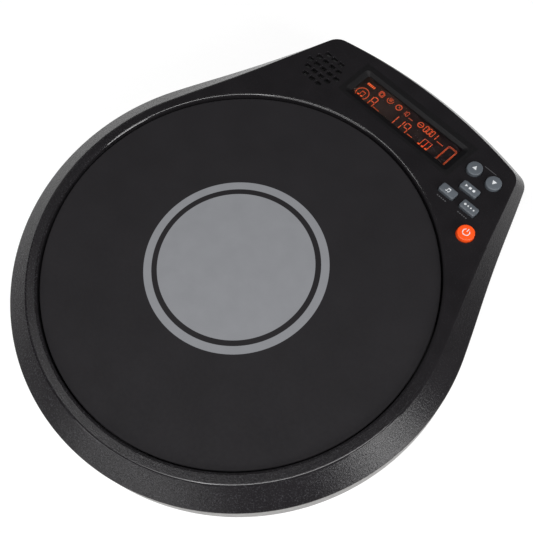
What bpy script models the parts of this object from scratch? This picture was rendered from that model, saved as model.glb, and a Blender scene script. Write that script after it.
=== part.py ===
"""Digital drum practice pad.

A teardrop case in two moulded shells holds a round rubber playing pad on a foam ring. The narrow
end is a control panel with a display, six keys and a small speaker. Batteries load from below.

Everything is modelled about the centre of the playing pad and hangs from one empty, which puts the
middle of the whole case at the origin. +X is right, +Y runs towards the control panel, +Z is up,
and the feet stand on Z = 0. Lengths are in metres.
"""

import math

import bmesh
import bpy
from mathutils import Matrix, Vector

# ---------------------------------------------------------------- driving dimensions
PLAYING_RADIUS = 0.1279      # rubber surface, a nominal 10 inch disc
RUBBER_EDGE = 0.0010         # rounding of the rubber's upper edge
TOP_Z = 0.0380               # flat top of the case
RUBBER_Z = 0.0351            # playing surface, just below the rim
SEAM_Z = 0.0275              # lower edge of the top shell
BASE_Z = 0.0030              # underside of the case, above the feet
WALL = 0.0024                # moulded wall
GAP = 0.0003                 # clearance between pieces that meet

# Teardrop outlines: (round radius, side angle, back edge, corner radius)
SIDE_TURN_TOP = math.radians(20.2)
SIDE_TURN_SEAM = math.radians(23.5)
RIDGE = (0.1357, SIDE_TURN_TOP, 0.1806, 0.0115)
SEAM = (0.1502, SIDE_TURN_SEAM, 0.1883, 0.0125)
FLARE = 0.00055              # how far the silver wall spreads below the seam
BAND = (SEAM[0] + FLARE, SIDE_TURN_SEAM, SEAM[2] + FLARE, SEAM[3] + FLARE)
SIDE_BOW = 0.0010            # how far the two sides are hollowed at their middle
BACK_CURVE = 0.360           # radius of the gently bowed back edge
SOFTEN = 0.0004              # small chamfer on the top shell's edges
ROUND_STEPS = 42
SIDE_STEPS = 6
CORNER_STEPS = 3
BACK_STEPS = 8

# The pad centre, so that the case's bounding box is centred on the origin
PAD_Y = (BAND[0] - BAND[2]) / 2

# Pad recess and what lies in it
RECESS_RADIUS = 0.1287
RECESS_LIP = 0.0010          # fillet radius at the recess rim
RECESS_WALL = 0.0022
LEDGE_INNER = 0.1130
LEDGE_Z = 0.0250
LEDGE_THICKNESS = 0.0020
RUBBER_THICKNESS = 0.0048
PLATE_RADIUS = 0.1255
PLATE_THICKNESS = 0.0014
FOAM_RING = (0.1145, 0.1250)     # inner and outer radius
SENSOR_BRASS = (0.0175, 0.0006)  # radius and thickness
SENSOR_FACE = (0.0125, 0.0005)

# Control panel, places from the pad centre
DISPLAY_CENTRE = (0.0, 0.1548)
DISPLAY_OPENING = (0.0855, 0.0174)
DISPLAY_RECESS = (0.0930, 0.0236)
DISPLAY_RECESS_STEP = 0.0008     # how far the recess lies ahead of the opening
DISPLAY_RECESS_DEPTH = 0.0018
DISPLAY_CORNER = 0.0010
RECESS_CORNER = 0.0030
SPEAKER_CENTRE = (-0.0690, 0.1444)
SPEAKER_RADIUS = 0.0168
GRILLE_ROWS = (3, 4, 5, 4, 3)
GRILLE_PITCH = (0.0064, 0.0056)
GRILLE_HOLE = (0.0041, 0.0026)
GRILLE_CORNER = 0.0006

KEY_TOP_Z = 0.0404
POWER_TOP_Z = 0.0407
KEY_FLANGE_Z = 0.0340
KEY_FLANGE = (0.0010, 0.0012)    # how far it stands out, and its thickness
KEY_STEM_Z = 0.0306
KEY_STEM_RADIUS = 0.0016
KEY_HOLE_GAP = 0.0004
ROUND_KEY = 0.0051
POWER_KEY = 0.0055
ROUND_KEYS = {
    "up_button": (0.0585, 0.1561, ROUND_KEY, KEY_TOP_Z),
    "down_button": (0.0739, 0.1561, ROUND_KEY, KEY_TOP_Z),
    "power_button": (0.0853, 0.1172, POWER_KEY, POWER_TOP_Z),
}
BAR_KEYS = {
    "mode_button": (0.0664, 0.1425, 0.0132, 0.0064),
    "tone_button": (0.0579, 0.1319, 0.0120, 0.0064),
    "beat_button": (0.0750, 0.1319, 0.0120, 0.0064),
}
BAR_KEY_CORNER = 0.0014

# Boards
BOARD_Z = (0.0256, 0.0272)
BOARD_BORE = 0.0018
BOARD_BOSS = (0.0030, 0.0014)    # radius, and radius of the screw's hole
BOARD_BOSS_HOLE_Z = 0.0340
BOARD_ARC = (0.1345, math.radians(110.6), math.radians(52.0))    # edge beside the recess
BOARD_SCREWS = ((-0.0440, 0.1370), (0.0440, 0.1370), (0.0870, 0.1310))
JACK_BOARD_Z = (0.0086, 0.0102)
JACK_BOARD = (0.0760, 0.0190)
JACK_BOARD_Y = 0.1710
JACK_BOARD_PINS = ((-0.0320, 0.1655), (0.0320, 0.1655))
PIN_RADIUS = 0.0012
PIN_TOP_Z = 0.0112

# Rear sockets
JACK_Z = 0.0170
HEADPHONE_X = -0.0260
POWER_X = 0.0260
JACK_FACE_Y = 0.1871
JACK_BODY_Y = (0.1688, 0.1828)
JACK_ROOT = 0.0030               # how deep each nose runs into its body
BORE_Y = (0.1800, 0.1930)
HEADPHONE_BORE = 0.0049
POWER_BORE = 0.0045

# Case screws, one in each pair of bosses
BOSS_RING = 0.1352
ROUND_BOSS_TURNS = (-20.0, -90.0, -160.0)
PANEL_BOSSES = ((0.1002, 0.0934), (-0.1002, 0.0934), (0.0560, 0.1712), (-0.0560, 0.1712))
BOSS_MEET_Z = 0.0215
BOSS_SLOPE_TOP = 0.0330          # inside the sloping edge
BOSS_HOLE_TOP = 0.0300
BOSS_RADIUS = 0.0045
SCREW_WELL = 0.0034
SCREW_HEAD_Z = 0.0172
SCREW_SHANK = 0.0014
SCREW_BORE = 0.0018

# Battery bay
BAY_Y = -0.0200
BAY_INNER = (0.0316, 0.0285)     # half width, half length
BAY_RECESS = (0.0330, 0.0300)
BAY_OUTER = (0.0348, 0.0312)
BAY_ROOF_Z = (0.0206, 0.0222)
CELL_RADIUS = 0.0071
CELL_PITCH = 0.0154
CELL_Z = 0.0128
CELL_BODY = 0.0488
CELL_NUB = (0.0027, 0.0012)
DOOR_HALF = (0.0325, 0.0295)
DOOR_THICKNESS = 0.0018
PLATE_Y = 0.0280                 # contact plates' middle, from the bay's middle
CONTACT_THICKNESS = 0.0004
CONTACT_HALF_HEIGHT = 0.0048
SPRING_WIRE = 0.00035            # radius
SPRING_LENGTH = 0.0040

# Feet
FOOT_RADIUS = 0.0080
FOOT_BEVEL = 0.0008
FEET = {
    "foot_front_left": (-0.0880, -0.0930),
    "foot_front_right": (0.0880, -0.0930),
    "foot_rear_left": (-0.0680, 0.1480),
    "foot_rear_right": (0.0680, 0.1480),
}


# ---------------------------------------------------------------- materials
def material(name, colour, roughness, metallic=0.0):
    """A Principled material."""
    made = bpy.data.materials.new(name)
    made.use_nodes = True
    shader = made.node_tree.nodes["Principled BSDF"]
    shader.inputs["Base Color"].default_value = (*colour, 1.0)
    shader.inputs["Roughness"].default_value = roughness
    shader.inputs["Metallic"].default_value = metallic
    return made


def make_materials():
    """Every finish that the pad is made of, by name."""
    return {
        "black_plastic": material("black_plastic", (0.013, 0.013, 0.014), 0.45),
        "silver_plastic": material("silver_plastic", (0.42, 0.42, 0.43), 0.35),
        "pad_rubber": material("pad_rubber", (0.023, 0.023, 0.025), 0.70),
        "foot_rubber": material("foot_rubber", (0.015, 0.015, 0.015), 0.80),
        "foam": material("foam", (0.05, 0.05, 0.055), 0.95),
        "steel": material("steel", (0.55, 0.55, 0.56), 0.30, 1.0),
        "brass": material("brass", (0.70, 0.50, 0.22), 0.30, 1.0),
        "key_grey": material("key_grey", (0.13, 0.15, 0.17), 0.40),
        "key_orange": material("key_orange", (0.90, 0.10, 0.01), 0.35),
        "window": material("window", (0.04, 0.02, 0.02), 0.05),
        "display_glass": material("display_glass", (0.05, 0.02, 0.015), 0.10),
        "light_guide": material("light_guide", (0.80, 0.35, 0.10), 0.30),
        "board_green": material("board_green", (0.02, 0.16, 0.06), 0.45),
        "magnet": material("magnet", (0.08, 0.08, 0.08), 0.50),
        "paper": material("paper", (0.03, 0.03, 0.03), 0.90),
        "cell_wrap": material("cell_wrap", (0.45, 0.28, 0.05), 0.30, 0.6),
        "lead_black": material("lead_black", (0.02, 0.02, 0.02), 0.50),
    }


# ---------------------------------------------------------------- outlines
def arc(cx, cy, radius, start, end, steps):
    """Points along an arc, without its last one."""
    turns = [start + (end - start) * i / steps for i in range(steps)]
    return [(cx + radius * math.cos(t), cy + radius * math.sin(t)) for t in turns]


def hollowed(start, end, steps):
    """Points along a side that is hollowed towards the left of its run, without its last one."""
    start = Vector(start)
    run = Vector(end) - start
    inward = Vector((-run.y, run.x)).normalized()
    points = []
    for i in range(steps):
        part = i / steps
        points.append(tuple(start + run * part + inward * SIDE_BOW * math.sin(math.pi * part) ** 2))
    return points


def teardrop(shape, inset=0.0):
    """The case's outline, anticlockwise from the left-hand tangent point.

    A round body runs by two slightly hollow sides into rounded corners, and a shallow arc closes
    the back. Every outline has the same number of points, so outlines at different heights can be
    joined point to point.
    """
    radius = shape[0] - inset
    side = shape[1]
    back_radius = BACK_CURVE - inset
    back_centre = shape[2] - inset - back_radius
    corner = max(shape[3] - inset, 0.0025)

    # The corner's centre is one corner radius inside both the side and the back arc.
    along = Vector((-math.sin(side), math.cos(side)))
    foot = Vector((math.cos(side), math.sin(side))) * (radius - corner)
    offset = foot - Vector((0.0, back_centre))
    reach = back_radius - corner
    slide = -offset.dot(along) + math.sqrt(offset.dot(along) ** 2 - offset.length_squared + reach**2)
    cx, cy = foot + along * slide
    back_turn = math.atan2(cy - back_centre, cx)

    side_x = math.cos(side)
    side_y = math.sin(side)
    round_end = (radius * side_x, radius * side_y)
    corner_start = (cx + corner * side_x, cy + corner * side_y)
    points = arc(0.0, 0.0, radius, math.pi - side, math.tau + side, ROUND_STEPS)
    points += hollowed(round_end, corner_start, SIDE_STEPS)
    points += arc(cx, cy, corner, side, back_turn, CORNER_STEPS)
    points += arc(0.0, back_centre, back_radius, back_turn, math.pi - back_turn, BACK_STEPS)
    points += arc(-cx, cy, corner, math.pi - back_turn, math.pi - side, CORNER_STEPS)
    points += hollowed((-corner_start[0], corner_start[1]), (-round_end[0], round_end[1]), SIDE_STEPS)
    return points


def matched_circle(radius):
    """A circle with one point in line with each point of the ridge outline."""
    turns = [math.atan2(y, x) for x, y in teardrop(RIDGE)]
    return [(radius * math.cos(t), radius * math.sin(t)) for t in turns]


def rounded_rectangle(width, depth, corner, steps=3):
    """A rounded rectangle about the origin, anticlockwise."""
    half_x = width / 2 - corner
    half_y = depth / 2 - corner
    quarter = math.pi / 2
    points = []
    for i, (sx, sy) in enumerate(((1, 1), (-1, 1), (-1, -1), (1, -1))):
        for j in range(steps + 1):
            turn = i * quarter + quarter * j / steps
            points.append((sx * half_x + corner * math.cos(turn), sy * half_y + corner * math.sin(turn)))
    return points


# ---------------------------------------------------------------- mesh tools
def loft(rings, closed=False):
    """A skin over rings of equal point count, capped at its ends or closed into a loop."""
    mesh = bmesh.new()
    loops = [[mesh.verts.new(point) for point in ring] for ring in rings]
    pairs = list(zip(loops, loops[1:]))
    if closed:
        pairs.append((loops[-1], loops[0]))
    else:
        mesh.faces.new(loops[0])
        mesh.faces.new(loops[-1])
    for first, second in pairs:
        for i in range(len(first)):
            j = (i + 1) % len(first)
            mesh.faces.new((first[i], first[j], second[j], second[i]))
    bmesh.ops.recalc_face_normals(mesh, faces=mesh.faces)
    return mesh


def at_height(points, z):
    """Flat points lifted to one height."""
    return [(x, y, z) for x, y in points]


def prism(points, low, high):
    """An outline extruded upwards."""
    return loft([at_height(points, low), at_height(points, high)])


def box(low, high):
    """A box between two corners."""
    corners = [(low[0], low[1]), (high[0], low[1]), (high[0], high[1]), (low[0], high[1])]
    return prism(corners, low[2], high[2])


def turned(profile, segments=32, ring=False):
    """A profile of (radius, height) spun about Z, outer side first.

    It starts and ends on the axis, unless it is a ring, whose profile is a closed loop.
    """
    mesh = bmesh.new()
    verts = [mesh.verts.new((radius, 0.0, z)) for radius, z in profile]
    edges = [mesh.edges.new(pair) for pair in zip(verts, verts[1:])]
    if ring:
        edges.append(mesh.edges.new((verts[-1], verts[0])))
    bmesh.ops.spin(
        mesh, geom=verts + edges, cent=(0, 0, 0), axis=(0, 0, 1), dvec=(0, 0, 0),
        angle=math.tau, steps=segments, use_merge=True, use_normal_flip=False, use_duplicate=False,
    )
    bmesh.ops.remove_doubles(mesh, verts=mesh.verts, dist=1e-6)
    bmesh.ops.recalc_face_normals(mesh, faces=mesh.faces)
    return mesh


def disc(radius, low, high, segments=32):
    """A plain upright disc."""
    return turned([(0.0, low), (radius, low), (radius, high), (0.0, high)], segments)


def moved(mesh, offset):
    """The same mesh, shifted."""
    bmesh.ops.translate(mesh, vec=offset, verts=mesh.verts)
    return mesh


def gathered(meshes):
    """Several meshes as one, still separate solids."""
    result = bmesh.new()
    for mesh in meshes:
        carrier = bpy.data.meshes.new("carrier")
        mesh.to_mesh(carrier)
        mesh.free()
        result.from_mesh(carrier)
        bpy.data.meshes.remove(carrier)
    return result


def new_object(name, mesh, finish, root, location=(0.0, 0.0, 0.0)):
    """A named object with its material, placed from the pad centre."""
    data = bpy.data.meshes.new(name)
    mesh.to_mesh(data)
    mesh.free()
    data.materials.append(finish)
    data.shade_smooth()
    data.set_sharp_from_angle(angle=math.radians(35))
    made = bpy.data.objects.new(name, data)
    made.location = location
    made.parent = root
    bpy.context.scene.collection.objects.link(made)
    return made


def combine(target, mesh, operation):
    """Add or cut a hidden tool shape, through a Boolean modifier."""
    data = bpy.data.meshes.new(target.name + "_tool")
    mesh.to_mesh(data)
    mesh.free()
    tool = bpy.data.objects.new(data.name, data)
    tool.parent = target.parent
    tool.location = target.location
    tool.display_type = "WIRE"
    tool.hide_render = True
    bpy.context.scene.collection.objects.link(tool)
    modifier = target.modifiers.new(operation.lower(), "BOOLEAN")
    modifier.operation = operation
    modifier.solver = "EXACT"
    modifier.object = tool


def turned_to(mesh, axis):
    """A mesh built along Z, turned so that its Z lies along another axis."""
    turn = Vector((0, 0, 1)).rotation_difference(Vector(axis)).to_matrix()
    bmesh.ops.rotate(mesh, cent=(0, 0, 0), matrix=turn, verts=mesh.verts)
    return mesh


# ---------------------------------------------------------------- case
def case_bosses():
    """Places of the case screws, each with the height its upper boss may reach."""
    places = []
    for degrees in ROUND_BOSS_TURNS:
        turn = math.radians(degrees)
        places.append((BOSS_RING * math.cos(turn), BOSS_RING * math.sin(turn), BOSS_SLOPE_TOP))
    for x, y in PANEL_BOSSES:
        places.append((x, y, TOP_Z - WALL / 2))
    return places


def grille_holes():
    """One cutter for each hole of the speaker grille."""
    cutters = []
    outline = rounded_rectangle(*GRILLE_HOLE, GRILLE_CORNER, 1)
    for row, count in enumerate(GRILLE_ROWS):
        y = SPEAKER_CENTRE[1] + (row - (len(GRILLE_ROWS) - 1) / 2) * GRILLE_PITCH[1]
        for column in range(count):
            x = SPEAKER_CENTRE[0] + (column - (count - 1) / 2) * GRILLE_PITCH[0]
            cutters.append(moved(prism(outline, TOP_Z - 2 * WALL, TOP_Z + WALL), (x, y, 0)))
    return cutters


def key_holes():
    """One cutter for each key's hole."""
    low, high = TOP_Z - 2 * WALL, TOP_Z + WALL
    cutters = [
        moved(disc(radius + KEY_HOLE_GAP, low, high, segments=20), (x, y, 0))
        for x, y, radius, _ in ROUND_KEYS.values()
    ]
    for x, y, width, depth in BAR_KEYS.values():
        grow = 2 * KEY_HOLE_GAP
        outline = rounded_rectangle(width + grow, depth + grow, BAR_KEY_CORNER + KEY_HOLE_GAP)
        cutters.append(moved(prism(outline, low, high), (x, y, 0)))
    return cutters


def display_cutter():
    """The sloping display recess with the window opening at its floor, as one solid."""
    floor = TOP_Z - DISPLAY_RECESS_DEPTH
    over = 0.001
    grow = 1 + over / DISPLAY_RECESS_DEPTH
    opening = rounded_rectangle(*DISPLAY_OPENING, DISPLAY_CORNER)
    brim = [(x, y - DISPLAY_RECESS_STEP) for x, y in rounded_rectangle(*DISPLAY_RECESS, RECESS_CORNER)]
    above = [(a + (c - a) * grow, b + (d - b) * grow) for (a, b), (c, d) in zip(opening, brim)]
    rings = [
        at_height(opening, TOP_Z - 2 * WALL),
        at_height(opening, floor),
        at_height(brim, TOP_Z),
        at_height(above, TOP_Z + over),
    ]
    return moved(loft(rings), (*DISPLAY_CENTRE, 0))


def make_top_shell(root, finishes):
    """Black shell: flat rim and panel, sloping edge, and the recess that the pad lies in."""
    roof = TOP_Z - WALL
    cup = RECESS_RADIUS + RECESS_WALL
    ledge_low = LEDGE_Z - LEDGE_THICKNESS
    lip = [
        (RECESS_RADIUS + RECESS_LIP * (1 - math.cos(turn)), TOP_Z - RECESS_LIP * (1 - math.sin(turn)))
        for turn in (0.0, math.pi / 4, math.pi / 2)
    ]
    rings = [
        at_height(teardrop(RIDGE, SOFTEN), TOP_Z),
        at_height(teardrop(RIDGE), TOP_Z - SOFTEN),
        at_height(teardrop(SEAM), SEAM_Z + SOFTEN),
        at_height(teardrop(SEAM, SOFTEN), SEAM_Z),
        at_height(teardrop(SEAM, WALL), SEAM_Z),
        at_height(teardrop(RIDGE, WALL + SOFTEN / 2), roof),
        at_height(matched_circle(cup), roof),
        at_height(matched_circle(cup), ledge_low),
        at_height(matched_circle(LEDGE_INNER), ledge_low),
        at_height(matched_circle(LEDGE_INNER), LEDGE_Z),
        at_height(matched_circle(RECESS_RADIUS), LEDGE_Z),
    ]
    rings += [at_height(matched_circle(radius), z) for radius, z in lip]
    shell = new_object("top_shell", loft(rings, closed=True), finishes["black_plastic"], root)

    bosses = [
        moved(disc(BOSS_RADIUS, BOSS_MEET_Z, top, segments=16), (x, y, 0))
        for x, y, top in case_bosses()
    ]
    bosses += [
        moved(disc(BOARD_BOSS[0], BOARD_Z[1] + GAP, roof + WALL / 2, segments=12), (x, y, 0))
        for x, y in BOARD_SCREWS
    ]
    combine(shell, gathered(bosses), "UNION")

    holes = [
        moved(disc(SCREW_BORE, BOSS_MEET_Z - WALL, BOSS_HOLE_TOP, segments=12), (x, y, 0))
        for x, y, _ in case_bosses()
    ]
    holes += [
        moved(disc(BOARD_BOSS[1], BOARD_Z[1] - WALL, BOARD_BOSS_HOLE_Z, segments=10), (x, y, 0))
        for x, y in BOARD_SCREWS
    ]
    combine(shell, gathered(holes + grille_holes() + key_holes() + [display_cutter()]), "DIFFERENCE")


def make_bottom_shell(root, finishes):
    """Silver shell: upright wall that rounds under to the flat base, with bosses and bays.

    The wall's rings are an inset from its widest outline and a height, up the outside, over the
    edge and down the inside.
    """
    floor = BASE_Z + WALL
    top = SEAM_Z - GAP
    edge = 0.0003
    outside = [(0.0042, BASE_Z), (0.0014, 0.0040), (0.0003, 0.0062), (0.0, 0.0085), (FLARE, top - edge)]
    inside = [(FLARE + edge, top), (FLARE + WALL - edge, top), (0.0026, 0.0090), (0.0040, 0.0068)]
    inside.append((0.0068, floor))
    rings = [at_height(teardrop(BAND, inset), z) for inset, z in outside + inside]
    shell = new_object("bottom_shell", loft(rings), finishes["silver_plastic"], root)

    sunk = floor - WALL / 2
    pillar = BOSS_RADIUS + GAP
    posts = [
        moved(disc(pillar, sunk, BOSS_MEET_Z - GAP, segments=16), (x, y, 0))
        for x, y, _ in case_bosses()
    ]
    seat = JACK_BOARD_Z[0] - GAP
    for x, y in JACK_BOARD_PINS:
        profile = [(0.0, sunk), (BOARD_BOSS[0], sunk), (BOARD_BOSS[0], seat), (PIN_RADIUS, seat)]
        profile += [(PIN_RADIUS, PIN_TOP_Z), (0.0, PIN_TOP_Z)]
        posts.append(moved(turned(profile, 12), (x, y, 0)))
    half_width, half_length = BAY_OUTER
    bay = box((-half_width, BAY_Y - half_length, sunk), (half_width, BAY_Y + half_length, BAY_ROOF_Z[1]))
    combine(shell, gathered(posts + [bay]), "UNION")

    below = BASE_Z - WALL
    cutters = []
    for x, y, _ in case_bosses():
        ledge = SCREW_HEAD_Z + GAP
        profile = [(0.0, below), (SCREW_WELL, below), (SCREW_WELL, ledge), (SCREW_BORE, ledge)]
        profile += [(SCREW_BORE, BOSS_MEET_Z + WALL), (0.0, BOSS_MEET_Z + WALL)]
        cutters.append(moved(turned(profile, 16), (x, y, 0)))
    door_top = BASE_Z + DOOR_THICKNESS + GAP
    outlines = [rounded_rectangle(2 * half[0], 2 * half[1], 0.0005, 1) for half in (BAY_RECESS, BAY_INNER)]
    rings = [
        at_height(outlines[0], below),
        at_height(outlines[0], door_top),
        at_height(outlines[1], door_top),
        at_height(outlines[1], BAY_ROOF_Z[0]),
    ]
    cutters.append(moved(loft(rings), (0, BAY_Y, 0)))
    for x, radius in ((HEADPHONE_X, HEADPHONE_BORE), (POWER_X, POWER_BORE)):
        bore = turned_to(disc(radius, *BORE_Y, segments=24), (0, 1, 0))
        cutters.append(moved(bore, (x, 0, JACK_Z)))
    combine(shell, gathered(cutters), "DIFFERENCE")


def make_feet_and_screws(root, finishes):
    """Four rubber feet, and the seven screws that hold the shells together."""
    top = BASE_Z - GAP
    inner = FOOT_RADIUS - FOOT_BEVEL
    profile = [(0.0, 0.0), (inner, 0.0), (FOOT_RADIUS, FOOT_BEVEL), (FOOT_RADIUS, top - FOOT_BEVEL)]
    profile += [(inner, top), (0.0, top)]
    for name, (x, y) in FEET.items():
        new_object(name, turned(profile, 16), finishes["foot_rubber"], root, (x, y, 0.0))
    for number, (x, y, _) in enumerate(case_bosses(), 1):
        new_object(f"case_screw_{number}", screw(0.0029, 0.0022, SCREW_SHANK, 0.0118),
                   finishes["steel"], root, (x, y, SCREW_HEAD_Z))


def screw(head_radius, head_height, shank_radius, shank_length):
    """A pan-head screw that points up, with a socket in its head; its head meets Z = 0."""
    profile = [(0.0, -head_height * 0.45), (head_radius * 0.35, -head_height * 0.45)]
    profile += [(head_radius * 0.45, -head_height), (head_radius * 0.75, -head_height)]
    profile += [(head_radius, -head_height * 0.6), (head_radius, 0.0), (shank_radius, 0.0)]
    profile += [(shank_radius, shank_length - shank_radius), (0.0, shank_length)]
    return turned(profile, 8)


# ---------------------------------------------------------------- playing pad
def make_playing_pad(root, finishes):
    """Rubber on a stiff plate, floated on a foam ring, with the impact sensor under its middle."""
    rubber_low = RUBBER_Z - RUBBER_THICKNESS
    edge = PLAYING_RADIUS
    profile = [(0.0, rubber_low), (edge, rubber_low), (edge, RUBBER_Z - RUBBER_EDGE)]
    profile += [(edge - 0.3 * RUBBER_EDGE, RUBBER_Z - 0.3 * RUBBER_EDGE)]
    profile += [(edge - RUBBER_EDGE, RUBBER_Z), (0.0, RUBBER_Z)]
    new_object("rubber_pad", turned(profile, 60), finishes["pad_rubber"], root)

    plate_top = rubber_low - GAP
    plate_low = plate_top - PLATE_THICKNESS
    plate = disc(PLATE_RADIUS, plate_low, plate_top, segments=48)
    new_object("pad_plate", plate, finishes["steel"], root)

    foam_low = LEDGE_Z + GAP
    foam_high = plate_low - GAP
    inner, outer = FOAM_RING
    foam = [(inner, foam_low), (outer, foam_low), (outer, foam_high), (inner, foam_high)]
    new_object("foam_ring", turned(foam, 40, ring=True), finishes["foam"], root)

    sensor_top = plate_low - GAP
    brass_low = sensor_top - SENSOR_BRASS[1]
    face_low = brass_low - SENSOR_FACE[1]
    sensor = [(0.0, face_low), (SENSOR_FACE[0], face_low), (SENSOR_FACE[0], brass_low)]
    sensor += [(SENSOR_BRASS[0], brass_low), (SENSOR_BRASS[0], sensor_top), (0.0, sensor_top)]
    new_object("impact_sensor", turned(sensor, 20), finishes["brass"], root)


# ---------------------------------------------------------------- control panel
def make_display(root, finishes):
    """Window, display panel and backlight, stacked under the opening."""
    x, y = DISPLAY_CENTRE
    window_top = TOP_Z - WALL - GAP
    layers = (
        ("display_window", 0.0900, 0.0220, window_top - 0.0015, window_top, "window"),
        ("display_panel", 0.0880, 0.0230, 0.0307, 0.0335, "display_glass"),
        ("display_backlight", 0.0890, 0.0235, BOARD_Z[1] + GAP, 0.0304, "light_guide"),
    )
    for name, width, depth, low, high, finish in layers:
        outline = rounded_rectangle(width, depth, 0.0008, 2)
        new_object(name, prism(outline, 0.0, high - low), finishes[finish], root, (x, y, low))


def key_solid(cap, cap_top, flange):
    """A key from its rings: rounded cap, flange under the roof, and a stem for the switch.

    Each ring is a size and a height. Z = 0 is the underside of the flange.
    """
    stem_low = KEY_STEM_Z - KEY_FLANGE_Z
    flange_high = KEY_FLANGE[1]
    rings = [(cap(-0.0007), cap_top), (cap(-0.0002), cap_top - 0.0002), (cap(0.0), cap_top - 0.0008)]
    rings += [(cap(0.0), flange_high), (flange, flange_high), (flange, 0.0)]
    stem = arc(0.0, 0.0, KEY_STEM_RADIUS, 0.0, math.tau, len(flange))
    rings += [(stem, 0.0), (stem, stem_low)]
    return loft([at_height(points, z) for points, z in rings])


def make_keys(root, finishes):
    """Six keys, each with its origin on the line it is pressed along, and the switch under it."""
    stand_out = KEY_FLANGE[0]
    for name, (x, y, radius, top) in ROUND_KEYS.items():
        def cap(grow, radius=radius):
            return arc(0.0, 0.0, radius + grow, 0.0, math.tau, 20)
        solid = key_solid(cap, top - KEY_FLANGE_Z, cap(stand_out))
        finish = "key_orange" if name == "power_button" else "key_grey"
        new_object(name, solid, finishes[finish], root, (x, y, KEY_FLANGE_Z))
        make_switch(name.replace("button", "switch"), x, y, root, finishes)
    for name, (x, y, width, depth) in BAR_KEYS.items():
        def cap(grow, width=width, depth=depth):
            return rounded_rectangle(width + 2 * grow, depth + 2 * grow, BAR_KEY_CORNER + grow)
        solid = key_solid(cap, KEY_TOP_Z - KEY_FLANGE_Z, cap(stand_out))
        new_object(name, solid, finishes["key_grey"], root, (x, y, KEY_FLANGE_Z))
        make_switch(name.replace("button", "switch"), x, y, root, finishes)


def make_switch(name, x, y, root, finishes):
    """A square press switch with the well that the key's stem works in."""
    low = BOARD_Z[1] + GAP
    high = KEY_STEM_Z + 0.0004
    well_floor = 0.0294
    half = 0.0030
    outer = rounded_rectangle(2 * half, 2 * half, 0.0005, 3)
    well = arc(0.0, 0.0, KEY_STEM_RADIUS + 0.0004, math.pi / 8, math.tau + math.pi / 8, len(outer))
    rings = [(outer, 0.0), (outer, high - low), (well, high - low), (well, well_floor - low)]
    solid = loft([at_height(points, z) for points, z in rings])
    new_object(name, solid, finishes["magnet"], root, (x, y, low))


def make_boards(root, finishes):
    """The main board under the panel, with its three screws, and the jack board at the back."""
    radius, start, end = BOARD_ARC
    outline = arc(0.0, 0.0, radius, start, end, 10) + [(radius * math.cos(end), radius * math.sin(end))]
    outline += [(0.0935, 0.1130), (0.0920, 0.1330), (0.0800, 0.1630), (0.0600, 0.1660), (-0.0473, 0.1660)]
    board = new_object("main_board", prism(outline, *BOARD_Z), finishes["board_green"], root)
    holes = [
        moved(disc(BOARD_BORE, BOARD_Z[0] - WALL, BOARD_Z[1] + WALL, segments=12), (x, y, 0))
        for x, y in BOARD_SCREWS
    ]
    combine(board, gathered(holes), "DIFFERENCE")
    for number, (x, y) in enumerate(BOARD_SCREWS, 1):
        new_object(f"board_screw_{number}", screw(0.0024, 0.0016, 0.0011, 0.0075), finishes["steel"],
                   root, (x, y, BOARD_Z[0] - GAP))

    blank = moved(prism(rounded_rectangle(*JACK_BOARD, 0.0010, 1), *JACK_BOARD_Z), (0, JACK_BOARD_Y, 0))
    jack_board = new_object("jack_board", blank, finishes["board_green"], root)
    low, high = JACK_BOARD_Z[0] - WALL, JACK_BOARD_Z[1] + WALL
    holes = [
        moved(disc(PIN_RADIUS + GAP, low, high, segments=12), (x, y, 0))
        for x, y in JACK_BOARD_PINS
    ]
    combine(jack_board, gathered(holes), "DIFFERENCE")


# ---------------------------------------------------------------- speaker and sockets
def make_speaker(root, finishes):
    """A small loudspeaker behind the grille: pressed frame, paper cone and magnet."""
    x, y = SPEAKER_CENTRE
    rim = TOP_Z - WALL - GAP
    outer = SPEAKER_RADIUS
    frame = [(outer, rim), (0.0150, rim), (0.0145, rim - 0.0010), (0.0080, 0.0285), (0.0080, 0.0275)]
    frame += [(0.0098, 0.0275), (outer - 0.0013, rim - 0.0018), (outer, rim - 0.0010)]
    new_object("speaker_frame", turned(frame, 20, ring=True), finishes["steel"], root, (x, y, 0.0))
    dome = [(0.0, 0.0318), (0.0035, 0.0312), (0.0050, 0.0300), (0.0130, 0.0341), (0.0142, 0.0350)]
    under = [(0.0142, 0.0346), (0.0132, 0.0335), (0.0075, 0.0293), (0.0050, 0.0280), (0.0, 0.0280)]
    new_object("speaker_cone", turned(dome + under, 20), finishes["paper"], root, (x, y, 0.0))
    magnet = [(0.0, 0.0272), (0.0085, 0.0272), (0.0090, 0.0267), (0.0090, 0.0212), (0.0085, 0.0207)]
    magnet += [(0.0, 0.0207)]
    new_object("speaker_magnet", turned(magnet, 20), finishes["magnet"], root, (x, y, 0.0))


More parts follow.
